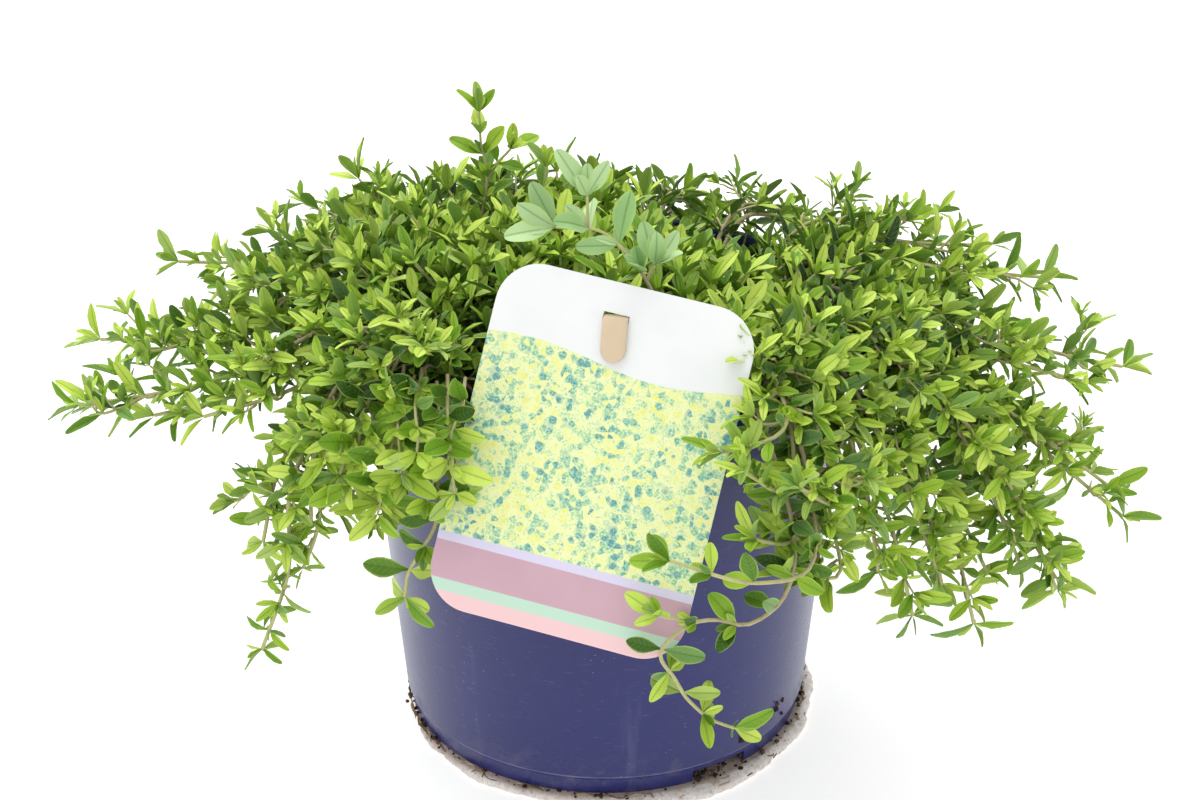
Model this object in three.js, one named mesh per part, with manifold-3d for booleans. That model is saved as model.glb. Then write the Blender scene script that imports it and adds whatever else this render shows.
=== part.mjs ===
// Golden lemon thyme in a round nursery pot, with a plant label hung on a plastic stake.
// Millimetres, +Z up. The origin is the middle of the underside, on the surface that the pot stands on.
// The label faces -Y.

import * as THREE from 'three';
import { mergeVertices } from 'three/addons/utils/BufferGeometryUtils.js';
import Module from 'manifold-3d';

const wasm = await Module();
wasm.setup();

// Driving dimensions

const GAP = 0.3;              // clearance between pieces that touch
const TURN = 2 * Math.PI;

const MAT_THICKNESS = 3;      // root mat under the foot
const MAT_EDGE = 1.3;
const MAT_RADIUS = 64;
const MAT_SPREAD = 3;         // further out at the front right
const MAT_SPREAD_ANGLE = -0.75;
const MAT_POINTS = 34;

const POT_BASE = MAT_THICKNESS + GAP;
const POT_HEIGHT = 130;
const POT_TOP = POT_BASE + POT_HEIGHT;
const LIP_RADIUS = 76;
const LIP_HEIGHT = 9;
const WALL_TOP_RADIUS = 73;
const WALL_FOOT_RADIUS = 63.3;
const FOOT_RADIUS = 61.9;
const FOOT_STEP = 6;
const WALL = 1.5;
const FLOOR_LOW = 2.6;        // underside of the pot's floor, above the foot
const FLOOR_TOP = 4.4;
const POT_SIDES = 32;

const SLOT_COUNT = 3;         // drain slots through the foot
const SLOT_WIDTH = 19;
const SLOT_HEIGHT = 4.8;
const SLOT_DEPTH = 9;
const SLOT_ANGLE = -0.98;

const COMPOST_TOP = POT_TOP - 17;
const COMPOST_RELIEF = 1.6;
const COMPOST_SIDES = 26;
const HOLE_DEPTH = 9;
const HOLE_SIDES = 4;

const LABEL_WIDTH = 71.3;
const LABEL_HEIGHT = 96;
const LABEL_CORNER = 12;
const LABEL_THICKNESS = 0.8;
const LABEL_TILT = 0.464;     // leans back from upright
const LABEL_YAW = -0.175;     // faces a little to the left
const LABEL_ROLL = -0.166;    // hangs a little crooked
const LABEL_SLOT_WIDTH = 8.2;
const LABEL_SLOT_HEIGHT = 3.4;
const LABEL_SLOT_X = -2.6;    // middle of the slot, from the middle of the card
const LABEL_SLOT_Y = 38.5;
const LABEL_HANG_X = 2.6;     // where the middle of the slot hangs
const LABEL_HANG_Z = 160;

const STAKE_WIDTH = 7.4;
const STAKE_THICKNESS = 1.2;
const STAKE_TONGUE = 12;      // length of the rounded end on the face of the label
const STAKE_DEPTH = 24;       // below the top of the compost

const CURVE_PIECES = 80;
const SLOPE_STEP = 0.02;      // share of a curve to either side, between which its slope is taken
const COLLAR_RISE = 6;        // a stem leaves the compost upright for this far
const STEM_STEP = 14;         // length of a straight piece of bare stem
const BASE_RADIUS = 1.5;      // woody foot of a stem
const FOOT_REACH = [8, 0.6];  // how far out a stem starts, from where its first point lies
const TIP_RADIUS = 0.75;
const LEAFY_FROM = 0.4;       // share of a stem that is bare
const CORNER = 0.7;           // half a side of the square that stands in for a round stem of radius 1
const NODE_HEIGHT = 1;        // height of the swelling that a pair of leaves grows from
const PAIR_SPACING = 14;      // between pairs of leaves
const NODE_SHIFT = 0.6;       // share of the spacing that a pair lies beyond the start of its stretch
const SHOOT_SPACING = 13;
const SHOOT_REACH = [17, 28];
const SHOOT_LEAFY_FROM = 0.3;
const SHOOT_BEND = { ahead: 0.3, out: 0.2, aside: 0.2 };      // shares of the reach
const SHOOT_TIP = { ahead: [0.5, 0.75], out: 0.2, aside: 0.4, rise: [0.15, 0.55] };
const LEAF_LENGTH = 11.5;
const LEAF_WIDTH = 4.4;
const LEAF_THICKNESS = 0.65;
const LEAF_DROOP = 0.18;
const LEAF_SPREAD = [0.9, 1.25];  // angle away from the stem
const LEAF_SIZE = [0.85, 1.15];
const TIP_LEAF_SIZE = 0.8;
const WIDE_FACE = 3;          // a leaf on a wider face starts on a low pyramid
const FACE_RISE = 2.2;
const BROAD_LEAF = [[0.34, 1], [0.7, 0.72]];  // share of the length, share of the width
const NARROW_LEAF = [[0.45, 0.9]];
const CROSSING = 0.0005;      // cubic millimetres
const SEED = 41;

// Stems laid by hand round the rim: the points that each one passes through after it leaves the compost,
// and how many side shoots it carries

const LAID_STEMS = [
  ['stem_left_low', [[-64, -19, 143], [-108, -32, 127], [-150, -35, 118]], 3],
  ['stem_left_long', [[-65, -8, 147], [-108, -12, 131], [-149, -10, 128]], 3],
  ['stem_left_upper', [[-66, 12, 147], [-98, 18, 142], [-129, 20, 139]], 2],
  ['stem_left_inner', [[-66, 2, 146], [-92, 4, 144], [-112, 3, 139]], 3],
  ['stem_back_left_low', [[-60, 30, 146], [-82, 42, 146], [-95, 50, 146]], 2],
  ['stem_hanging_left', [[-62, -44, 144], [-86, -60, 112], [-90, -62, 80], [-99, -62, 54]], 2],
  ['stem_low_left', [[-66, -34, 143], [-90, -50, 112], [-97, -55, 86]], 2],
  ['stem_over_left_rim', [[-49, -58, 143], [-46, -70, 122], [-46, -76, 106], [-51, -77, 96], [-55, -77, 89],
    [-56, -77, 81]], 0],
  ['stem_front_left', [[-54, -50, 144], [-66, -64, 132], [-72, -72, 116]], 2],
  ['stem_back_left', [[-52, 45, 145], [-76, 68, 133], [-88, 82, 112]], 2],
  ['stem_back_middle_left', [[-28, 62, 144], [-42, 88, 128], [-50, 104, 104]], 2],
  ['stem_back_middle', [[-4, 68, 144], [-6, 96, 126], [-8, 112, 98]], 2],
  ['stem_back_middle_right', [[20, 65, 144], [30, 90, 127], [36, 106, 102]], 2],
  ['stem_back_right', [[42, 54, 144], [62, 78, 130], [74, 92, 108]], 2],
  ['stem_right_upper', [[60, 32, 147], [84, 38, 146], [104, 45, 145]], 2],
  ['stem_right_shoulder', [[66, 18, 147], [98, 27, 143], [120, 34, 139]], 2],
  ['stem_right_high', [[68, 8, 146], [106, 14, 140], [133, 20, 134]], 2],
  ['stem_right_long', [[69, -4, 146], [112, -8, 129], [154, -5, 117]], 3],
  ['stem_right_low', [[68, -15, 145], [110, -24, 118], [147, -30, 90]], 3],
  ['stem_right_drooping', [[65, -27, 145], [103, -37, 112], [132, -42, 72]], 3],
  ['stem_right_hanging', [[60, -38, 144], [90, -52, 110], [107, -52, 56]], 3],
  ['stem_front_right_low', [[54, -48, 144], [74, -66, 112], [87, -66, 68]], 2],
  ['stem_over_label', [[41, -57, 145], [47, -82, 138], [30, -92, 133]], 1],
  ['stem_front_right', [[50, -60, 144], [60, -88, 118], [51, -98, 126]], 1],
  ['stem_across_label', [[47, -69, 141], [55, -98, 108], [40, -108, 104], [17, -107, 110]], 1],
  ['stem_trailing', [[37, -68, 141], [46, -86, 124], [50, -95, 107], [47, -99, 94], [38, -101, 87],
    [30, -103, 89.5], [22.5, -106, 90], [15.5, -109, 85], [15, -107, 79], [18.5, -102, 70.5],
    [22.5, -97, 60], [29, -93, 51], [35.5, -91, 47]], 0]
];

// Thicket: the crowded middle of the plant, a lumpy dome that leaves and shoots stand out of.
// It spreads over the stems that lean out across the rim.

const THICKET_SIDES = 16;
const THICKET_REACH = [58, 48, 38];            // to the sides, to the back, to the label
const THICKET_RINGS = [[0.4, 135], [0.84, 146], [1, 151], [0.88, 157], [0.64, 161], [0.38, 163], [0.12, 164]];
const THICKET_FOOT = 6;
const THICKET_LUMPS = [0.1, 2.4];              // share of the reach, millimetres of height
const THICKET_SHOOTS = 22;                     // besides the ones that are laid
const THICKET_SHOOT_REACH = [14, 24];
const THICKET_SHOOT_ARCH = 2;
const THICKET_LEAF_LEAN = [0.4, 1.1];          // 0 lies along the thicket, 1.57 stands straight out of it
const THICKET_LEAF_TURN = 0.9;                 // to either side
const THICKET_LEAF_SIZE = [0.95, 1.2];

// Tips of the shoots laid by hand on the thicket

const LAID_SHOOTS = [
  [-38, 35, 190],
  [-17, -38, 181],
  [-82, 50, 163],
  [-92, 38, 153],
  [-52, 50, 160],
  [-17, 50, 166],
  [-3, 60, 156],
  [14, 60, 153],
  [31, 64, 146],
  [51, 68, 143],
  [64, 62, 138],
  [40, -52, 158],
  [62, -58, 150],
  [-46, -58, 142],
  [-66, -48, 140],
  [-102, -18, 142],
  [-98, 8, 143],
  [-86, -36, 146],
  [-74, 40, 152],
  [-62, 10, 166],
  [-60, -22, 164],
  [104, -20, 144],
  [108, 6, 143],
  [88, 30, 144],
  [86, -44, 140],
  [66, -14, 156],
  [60, 12, 150],
  [78, -62, 134],
  [-20, 84, 140],
  [8, 84, 134],
  [38, 78, 130]
];

// Small helpers

const vec = (x, y, z) => new THREE.Vector3(x, y, z);

// A repeatable run of numbers from 0 to 1
function numbers(seed) {
  let state = 7919 * (seed + 1) % 2147483647;
  return () => {
    state = state * 16807 % 2147483647;
    return state / 2147483647;
  };
}

function finish(colour, roughness, metalness = 0) {
  return new THREE.MeshStandardMaterial({ color: colour, roughness, metalness });
}

function toSolid(geometry) {
  const bare = geometry.index ? geometry.toNonIndexed() : geometry.clone();
  bare.deleteAttribute('normal');
  bare.deleteAttribute('uv');
  const merged = mergeVertices(bare, 1e-4);
  return new wasm.Manifold(new wasm.Mesh({
    numProp: 3,
    vertProperties: new Float32Array(merged.attributes.position.array),
    triVerts: new Uint32Array(merged.index.array)
  }));
}

function toGeometry(solid) {
  const mesh = solid.getMesh();
  const geometry = new THREE.BufferGeometry();
  geometry.setAttribute('position', new THREE.BufferAttribute(new Float32Array(mesh.vertProperties), 3));
  geometry.setIndex(new THREE.BufferAttribute(new Uint32Array(mesh.triVerts), 1));
  geometry.computeVertexNormals();
  return geometry;
}

function fromRings(rings, closeStart, closeEnd) {
  // rings: equal loops of points, counter-clockwise seen from the end; the two closing points are middles
  const points = [...rings.flat(), closeStart, closeEnd];
  const count = rings[0].length;
  const start = points.length - 2;
  const end = points.length - 1;
  const last = (rings.length - 1) * count;
  const index = [];
  for (let i = 0; i < count; i++) {
    const next = (i + 1) % count;
    index.push(start, next, i);
    index.push(end, last + i, last + next);
    for (let ring = 0; ring < rings.length - 1; ring++) {
      const low = ring * count;
      const high = low + count;
      index.push(low + i, low + next, high + next, low + i, high + next, high + i);
    }
  }
  const geometry = new THREE.BufferGeometry();
  geometry.setFromPoints(points);
  geometry.setIndex(index);
  return geometry;
}

function loop(count, place) {
  return Array.from({ length: count }, (_, i) => place(i * TURN / count, i));
}

function ringLoop(count, radius, z) {
  return loop(count, (angle) => vec(radius(angle) * Math.cos(angle), radius(angle) * Math.sin(angle), z));
}

function between([least, most], share) {
  return least + (most - least) * share;
}

function box(width, depth, height, x, y, z) {
  return new THREE.BoxGeometry(width, depth, height).translate(x, y, z);
}

// Pot

function innerWallRadius(z) {
  const low = POT_BASE + FOOT_STEP;
  const share = (z - low) / (POT_TOP - low);
  return WALL_FOOT_RADIUS - WALL + share * (WALL_TOP_RADIUS - WALL_FOOT_RADIUS);
}

function potSolid() {
  const lipLow = POT_HEIGHT - LIP_HEIGHT;
  const inner = innerWallRadius;
  const profile = [
    [0, FLOOR_LOW],
    [FOOT_RADIUS - 4.6, FLOOR_LOW],
    [FOOT_RADIUS - 3.4, 0],
    [FOOT_RADIUS, 0],
    [FOOT_RADIUS + 0.4, FOOT_STEP - 1],
    [WALL_FOOT_RADIUS, FOOT_STEP],
    [WALL_TOP_RADIUS - 0.1, lipLow],
    [LIP_RADIUS - 0.5, lipLow + 1],
    [LIP_RADIUS, lipLow + 3],
    [LIP_RADIUS, POT_HEIGHT - 1.6],
    [LIP_RADIUS - 1.4, POT_HEIGHT],
    [WALL_TOP_RADIUS - 0.9, POT_HEIGHT],
    [inner(POT_BASE + POT_HEIGHT - 2), POT_HEIGHT - 2],
    [inner(POT_BASE + FOOT_STEP + 1.5), FOOT_STEP + 1.5],
    [inner(POT_BASE + FOOT_STEP) - 1.6, FLOOR_TOP],
    [0, FLOOR_TOP]
  ];
  const lathe = new THREE.LatheGeometry(profile.map(([r, z]) => new THREE.Vector2(r, z)), POT_SIDES);
  lathe.rotateX(Math.PI / 2);
  lathe.translate(0, 0, POT_BASE);
  let pot = toSolid(lathe);
  for (let i = 0; i < SLOT_COUNT; i++) {
    const slot = box(SLOT_DEPTH, SLOT_WIDTH, SLOT_HEIGHT, FOOT_RADIUS, 0, SLOT_HEIGHT / 2 - 1);
    slot.rotateZ(SLOT_ANGLE + i * TURN / SLOT_COUNT);
    slot.translate(0, 0, POT_BASE);
    pot = pot.subtract(toSolid(slot));
  }
  return pot;
}

// Root mat that the foot stands on

function matSolid() {
  const edge = (angle) => MAT_RADIUS + MAT_SPREAD * Math.cos(angle - MAT_SPREAD_ANGLE)
    + 0.7 * Math.sin(5 * angle + 1) + 0.5 * Math.sin(11 * angle) + 0.3 * Math.sin(17 * angle + 2);
  const ring = (inset, z) => loop(MAT_POINTS, (angle) => {
    const radius = edge(angle) - inset;
    return vec(radius * Math.cos(angle), radius * Math.sin(angle), z);
  });
  const rings = [ring(0.6, 0), ring(0, MAT_EDGE), ring(2.4, MAT_THICKNESS)];
  return toSolid(fromRings(rings, vec(0, 0, 0), vec(0, 0, MAT_THICKNESS)));
}

// Compost, with a low crumbly relief and a hole for every stem and for the stake

function compostHeight(x, y) {
  return COMPOST_TOP + COMPOST_RELIEF * (0.6 * Math.sin(0.13 * x + 1) * Math.cos(0.11 * y)
    + 0.4 * Math.sin(0.23 * y - 0.17 * x));
}

function compostSolid(holes) {
  const floor = POT_BASE + FLOOR_TOP + GAP;
  const corner = POT_BASE + FOOT_STEP + 1.5;
  const ring = (radius, height) => loop(COMPOST_SIDES, (angle) => {
    const x = radius * Math.cos(angle);
    const y = radius * Math.sin(angle);
    return vec(x, y, height ?? compostHeight(x, y));
  });
  const fit = Math.cos(Math.PI / POT_SIDES);
  const rings = [
    ring((innerWallRadius(floor) - 1.9) * fit - GAP, floor),
    ring(innerWallRadius(corner) * fit - GAP, corner + GAP),
    ring(innerWallRadius(COMPOST_TOP) * fit - GAP, COMPOST_TOP - 1.5),
    ring(innerWallRadius(COMPOST_TOP) * fit - 3),
    ring(48),
    ring(26)
  ];
  const body = toSolid(fromRings(rings, vec(0, 0, floor), vec(0, 0, compostHeight(0, 0))));
  return holes.reduce((solid, hole) => solid.subtract(hole), body);
}

function roundHole(foot, radius) {
  const sides = radius > BASE_RADIUS ? THICKET_SIDES : HOLE_SIDES;
  const around = (radius + 2.5 * GAP) / Math.cos(Math.PI / sides);
  const hole = new THREE.CylinderGeometry(around, around, HOLE_DEPTH + 8, sides);
  hole.rotateX(Math.PI / 2);
  hole.translate(foot.x, foot.y, COMPOST_TOP - HOLE_DEPTH + (HOLE_DEPTH + 8) / 2);
  return toSolid(hole);
}

// Label and stake share a frame: x across the card, y up its slope, z out of its printed face,
// with the middle of the slot's front edge at the origin

function labelFrame() {
  const normal = vec(Math.sin(LABEL_YAW) * Math.cos(LABEL_TILT), -Math.cos(LABEL_YAW) * Math.cos(LABEL_TILT),
    Math.sin(LABEL_TILT));
  // the card's back leans on the lip, just below its top
  const lean = LIP_RADIUS * Math.cos(LABEL_TILT) + (POT_TOP - 1.6) * Math.sin(LABEL_TILT)
    + GAP + LABEL_THICKNESS;
  const hangY = (lean - normal.x * LABEL_HANG_X - normal.z * LABEL_HANG_Z) / normal.y;
  const frame = new THREE.Group();
  frame.position.set(LABEL_HANG_X, hangY, LABEL_HANG_Z);
  frame.rotation.set(Math.PI / 2 - LABEL_TILT, 0, LABEL_YAW, 'ZYX');
  frame.updateMatrixWorld(true);
  return frame;
}

function labelSolid() {
  const halfWidth = LABEL_WIDTH / 2 - LABEL_CORNER;
  const halfHeight = LABEL_HEIGHT / 2 - LABEL_CORNER;
  const outline = new THREE.Shape();
  outline.absarc(halfWidth, halfHeight, LABEL_CORNER, 0, TURN / 4);
  outline.absarc(-halfWidth, halfHeight, LABEL_CORNER, TURN / 4, TURN / 2);
  outline.absarc(-halfWidth, -halfHeight, LABEL_CORNER, TURN / 2, 3 * TURN / 4);
  outline.absarc(halfWidth, -halfHeight, LABEL_CORNER, 3 * TURN / 4, TURN);
  const card = new THREE.ExtrudeGeometry(outline, {
    depth: LABEL_THICKNESS, bevelEnabled: false, curveSegments: 5
  });
  card.translate(-LABEL_SLOT_X, -LABEL_SLOT_Y, -LABEL_THICKNESS);
  card.rotateZ(LABEL_ROLL);
  const slot = box(LABEL_SLOT_WIDTH, LABEL_SLOT_HEIGHT, 6, 0, 0, 0);
  return toSolid(card).subtract(toSolid(slot));
}

function stakeRoute() {
  // middle line of the bent strip as [out, up]: down the face, over through the slot, down to the compost
  const half = STAKE_THICKNESS / 2;
  const face = half + GAP;
  const crest = LABEL_SLOT_HEIGHT / 2 - GAP - half;
  const drop = LABEL_HANG_Z - COMPOST_TOP + STAKE_DEPTH;
  const shoulder = [-3.4, -1.4];
  const below = [-Math.sin(LABEL_TILT), -Math.cos(LABEL_TILT)];
  return [
    [face, -STAKE_TONGUE],
    [face, -1.5],
    [face - 0.35, crest - 0.6],
    [-0.3, crest],
    [-1.6, crest - 0.1],
    shoulder,
    [shoulder[0] + drop * below[0], shoulder[1] + drop * below[1]]
  ];
}

function stakeSolid() {
  const half = STAKE_THICKNESS / 2;
  const route = stakeRoute().map(([out, up]) => new THREE.Vector2(out, up));
  const sides = [1, -1].map((side) => route.map((point, i) => {
    const along = route[Math.min(i + 1, route.length - 1)].clone().sub(route[Math.max(i - 1, 0)]).normalize();
    return new THREE.Vector2(point.x - side * half * along.y, point.y + side * half * along.x);
  }));
  const profile = new THREE.Shape([...sides[0], ...sides[1].reverse()]);
  const strip = new THREE.ExtrudeGeometry(profile, { depth: STAKE_WIDTH, bevelEnabled: false });
  strip.translate(0, 0, -STAKE_WIDTH / 2);
  strip.rotateY(-Math.PI / 2);
  // round the end of the tongue
  const radius = STAKE_WIDTH / 2;
  const corner = new THREE.Shape();
  corner.moveTo(-radius - 1, -radius - 1);
  corner.lineTo(radius + 1, -radius - 1);
  corner.lineTo(radius + 1, 0);
  corner.lineTo(radius, 0);
  corner.absarc(0, 0, radius, 0, -Math.PI, true);
  corner.lineTo(-radius - 1, 0);
  const cutter = new THREE.ExtrudeGeometry(corner, { depth: 3, bevelEnabled: false, curveSegments: 10 });
  cutter.translate(0, radius - STAKE_TONGUE, -0.1);
  return toSolid(strip).subtract(toSolid(cutter));
}

function stakeHole(matrix) {
  const [out, up] = stakeRoute().at(-1);
  const foot = vec(0, up, out).applyMatrix4(matrix);
  const hole = box(STAKE_WIDTH + 2 * GAP, STAKE_THICKNESS + 2 * GAP, STAKE_DEPTH + 10, 0, 0, 0);
  hole.rotateZ(LABEL_YAW);
  hole.translate(foot.x, foot.y, foot.z + STAKE_DEPTH / 2 + 4);
  return toSolid(hole);
}

// Stems: a smooth curve through a list of points, which starts in its hole in the compost

function stemPoints(through) {
  const [x, y] = through[0];
  const reach = Math.hypot(x, y);
  const foot = FOOT_REACH[0] + FOOT_REACH[1] * reach;
  const base = vec(foot * x / reach, foot * y / reach, COMPOST_TOP - HOLE_DEPTH + GAP);
  const collar = vec(base.x, base.y, COMPOST_TOP + COLLAR_RISE);
  return [base, collar, ...through.map((point) => vec(...point))];
}

function curveAt(points, share) {
  const pieces = points.length - 1;
  const piece = Math.min(Math.floor(share * pieces), pieces - 1);
  const t = share * pieces - piece;
  const b = points[piece];
  const c = points[piece + 1];
  const a = piece > 0 ? points[piece - 1] : b.clone().multiplyScalar(2).sub(c);
  const d = piece < pieces - 1 ? points[piece + 2] : c.clone().multiplyScalar(2).sub(b);
  const blend = (axis) => 0.5 * (2 * b[axis] + (c[axis] - a[axis]) * t
    + (2 * a[axis] - 5 * b[axis] + 4 * c[axis] - d[axis]) * t * t
    + (3 * b[axis] - a[axis] - 3 * c[axis] + d[axis]) * t * t * t);
  return vec(blend('x'), blend('y'), blend('z'));
}

function pathThrough(points) {
  // short straight pieces, so that places can be given by length
  const path = new THREE.CurvePath();
  const along = Array.from({ length: CURVE_PIECES + 1 }, (_, i) => curveAt(points, i / CURVE_PIECES));
  along.slice(1).forEach((point, i) => path.add(new THREE.LineCurve3(along[i], point)));
  return path;
}

// Everything that grows is a square tube: rings of four corners, counter-clockwise seen from the tip.
// A leaf or a side shoot sprouts from one face of a tube and starts with that face's corners.

function ringAt(centre, side, across, halfSide, halfAcross) {
  return [[-1, -1], [1, -1], [1, 1], [-1, 1]].map(([a, b]) => centre.clone()
    .addScaledVector(side, a * halfSide)
    .addScaledVector(across, b * halfAcross));
}

function faceOf(tube, segment, k) {
  const low = tube.rings[segment];
  const high = tube.rings[segment + 1];
  const next = (k + 1) % low.length;
  return [low[k], low[next], high[next], high[k]];
}

function growTube({ points, radii, leafyFrom, spacing, side, firstRings = [] }) {
  const path = pathThrough(points);
  const length = path.getLength();
  const bare = Math.max(1, Math.round(leafyFrom * length / STEM_STEP));
  const count = Math.max(1, Math.round((1 - leafyFrom) * length / spacing));
  const places = Array.from({ length: bare }, (_, i) => leafyFrom * i / bare);
  const nodes = [];
  for (let i = 0; i < count; i++) {
    const middle = between([leafyFrom, 1], (i + NODE_SHIFT) / count);
    nodes.push(places.length);
    places.push(middle - NODE_HEIGHT / 2 / length, middle + NODE_HEIGHT / 2 / length);
  }
  places.push(1);
  let sideways = side;
  const rings = places.map((share, i) => {
    const centre = path.getPointAt(share);
    const ahead = path.getPointAt(Math.min(share + SLOPE_STEP, 1));
    const along = ahead.sub(path.getPointAt(Math.max(share - SLOPE_STEP, 0))).normalize();
    sideways = sideways.clone().addScaledVector(along, -sideways.dot(along)).normalize();
    const across = along.clone().cross(sideways);
    const half = CORNER * between(radii, share);
    return ringAt(centre, sideways, across, half, half);
  });
  const skipped = firstRings.length ? 1 : 0;
  const shift = firstRings.length - skipped;
  return {
    rings: [...firstRings, ...rings.slice(skipped)],
    nodes: nodes.map((node) => node + shift),
    sprouts: new Map()
  };
}

// Middle and directions of a face: around the tube, up along it, and outwards

function faceFrame([a, b, c, d]) {
  const around = b.clone().add(c).sub(a).sub(d).normalize();
  const up = c.clone().add(d).sub(a).sub(b);
  up.addScaledVector(around, -up.dot(around)).normalize();
  return {
    middle: a.clone().add(b).add(c).add(d).multiplyScalar(0.25),
    around,
    up,
    out: around.clone().cross(up),
    width: a.distanceTo(b)
  };
}

// What grows from a wide face of the thicket starts on a low pyramid; on a stem it starts on the face itself

function rootOn(face, halfHeight, turn = 0) {
  const { middle, around, up, out, width } = faceFrame(face);
  around.applyAxisAngle(out, turn);
  up.applyAxisAngle(out, turn);
  if (width < WIDE_FACE) return { root: middle, rings: [face], around, up, out };
  const root = middle.clone().addScaledVector(out, FACE_RISE);
  return { root, rings: [face, ringAt(root, around, up, TIP_RADIUS, halfHeight)], around, up, out };
}

// A leaf grows from a face: it spreads away from the stem, widens, and droops a little to its tip

function growLeaf(face, spread, size, stations, turn) {
  const { root, rings, around, up, out } = rootOn(face, LEAF_THICKNESS / 2, turn);
  const length = size * LEAF_LENGTH;
  const along = up.clone().multiplyScalar(Math.cos(spread)).addScaledVector(out, Math.sin(spread));
  const thick = up.clone().multiplyScalar(Math.sin(spread)).addScaledVector(out, -Math.cos(spread));
  const centre = (share) => root.clone()
    .addScaledVector(along, share * length)
    .addScaledVector(thick, -LEAF_DROOP * share * share * length);
  const half = LEAF_THICKNESS / 2;
  for (const [share, part] of stations) {
    rings.push(ringAt(centre(share), around, thick, part * size * LEAF_WIDTH / 2, half));
  }
  const tip = ringAt(centre(1), around, thick, 0, half);
  return { rings: [...rings, [tip[0], tip[0], tip[2], tip[2]]], sprouts: new Map() };
}

function addTriangles(triangles, tube, closeStart) {
  const push = (...corners) => {
    if (new Set(corners).size === 3) triangles.push(...corners);
  };
  const fan = (ring) => {
    for (let k = 1; k < ring.length - 1; k++) push(ring[0], ring[k], ring[k + 1]);
  };
  if (closeStart) {
    const [corner, ...rest] = tube.rings[0];
    fan([corner, ...rest.reverse()]);
  }
  for (let segment = 0; segment < tube.rings.length - 1; segment++) {
    for (let k = 0; k < tube.rings[0].length; k++) {
      const sprout = tube.sprouts.get(`${segment}:${k}`);
      if (sprout) addTriangles(triangles, sprout, false);
      else fan(faceOf(tube, segment, k));
    }
  }
  if (tube.sprouts.has('end')) addTriangles(triangles, tube.sprouts.get('end'), false);
  else fan(tube.rings.at(-1));
  return triangles;
}

function tubeSolid(tube) {
  const triangles = addTriangles([], tube, true);
  const geometry = new THREE.BufferGeometry();
  geometry.setFromPoints(triangles);
  return toSolid(geometry);
}

// Side shoots leave a stem to the left and right in turn and curve upwards

function shootFrom(stem, order, count, random) {
  const share = (order + random()) / count;
  const segment = stem.nodes[Math.floor(share * (stem.nodes.length - 0.5))];
  const faces = [0, 1, 2, 3].map((k) => {
    const face = faceOf(stem, segment, k);
    return { k, face, ...faceFrame(face) };
  });
  const ahead = faces[0].up;
  const left = ahead.clone().cross(vec(0, 0, 1)).normalize().multiplyScalar(order % 2 ? 1 : -1);
  const wanted = left.clone().add(vec(0, 0, SHOOT_TIP.aside));
  const best = faces.reduce((one, other) => (other.out.dot(wanted) > one.out.dot(wanted) ? other : one));
  const reach = between(SHOOT_REACH, random());
  const bend = best.middle.clone()
    .addScaledVector(ahead, SHOOT_BEND.ahead * reach)
    .addScaledVector(best.out, SHOOT_BEND.out * reach)
    .addScaledVector(left, SHOOT_BEND.aside * reach);
  const tip = best.middle.clone()
    .addScaledVector(ahead, between(SHOOT_TIP.ahead, random()) * reach)
    .addScaledVector(best.out, SHOOT_TIP.out * reach)
    .addScaledVector(left, SHOOT_TIP.aside * reach)
    .add(vec(0, 0, between(SHOOT_TIP.rise, random()) * reach));
  return { key: `${segment}:${best.k}`, tube: growShoot(best, [bend, tip]) };
}

function growShoot({ face, around }, through) {
  const { root, rings } = rootOn(face, TIP_RADIUS);
  return growTube({
    points: [root, ...through],
    radii: [TIP_RADIUS, TIP_RADIUS],
    leafyFrom: SHOOT_LEAFY_FROM,
    spacing: SHOOT_SPACING,
    side: around,
    firstRings: rings
  });
}

// Places for leaves: opposite pairs, each pair a quarter turn from the last, and one upright at the tip

function leavesOf(tube, stations, random) {
  const leaves = [];
  tube.nodes.forEach((segment, order) => {
    for (const k of [order % 2, order % 2 + 2]) {
      const spread = between(LEAF_SPREAD, random());
      const size = between(LEAF_SIZE, random());
      const leaf = growLeaf(faceOf(tube, segment, k), spread, size, stations);
      leaves.push({ host: tube, key: `${segment}:${k}`, leaf });
    }
  });
  const tip = growLeaf(tube.rings.at(-1), TURN / 4, TIP_LEAF_SIZE, stations);
  leaves.push({ host: tube, key: 'end', leaf: tip });
  return leaves;
}

// The thicket: a dome of rings with lumps. Every face of it carries a shoot or a leaf.

function growThicket(random) {
  const [aside, behind, before] = THICKET_REACH;
  const foot = ringLoop(THICKET_SIDES, () => THICKET_FOOT, COMPOST_TOP - HOLE_DEPTH + GAP);
  const collar = ringLoop(THICKET_SIDES, () => THICKET_FOOT, COMPOST_TOP + COLLAR_RISE);
  const dome = THICKET_RINGS.map(([share, height]) => loop(THICKET_SIDES, (angle) => {
    const deep = Math.sin(angle) > 0 ? behind : before;
    const lump = 1 + THICKET_LUMPS[0] * (2 * random() - 1);
    return vec(share * lump * aside * Math.cos(angle), share * lump * deep * Math.sin(angle),
      height + THICKET_LUMPS[1] * (2 * random() - 1));
  }));
  return { rings: [foot, collar, ...dome], nodes: [], sprouts: new Map() };
}

function thicketFaces(thicket) {
  const faces = [];
  for (let segment = 2; segment < thicket.rings.length - 1; segment++) {
    for (let k = 0; k < THICKET_SIDES; k++) {
      const face = faceOf(thicket, segment, k);
      faces.push({ key: `${segment}:${k}`, face, ...faceFrame(face) });
    }
  }
  return faces;
}

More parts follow.
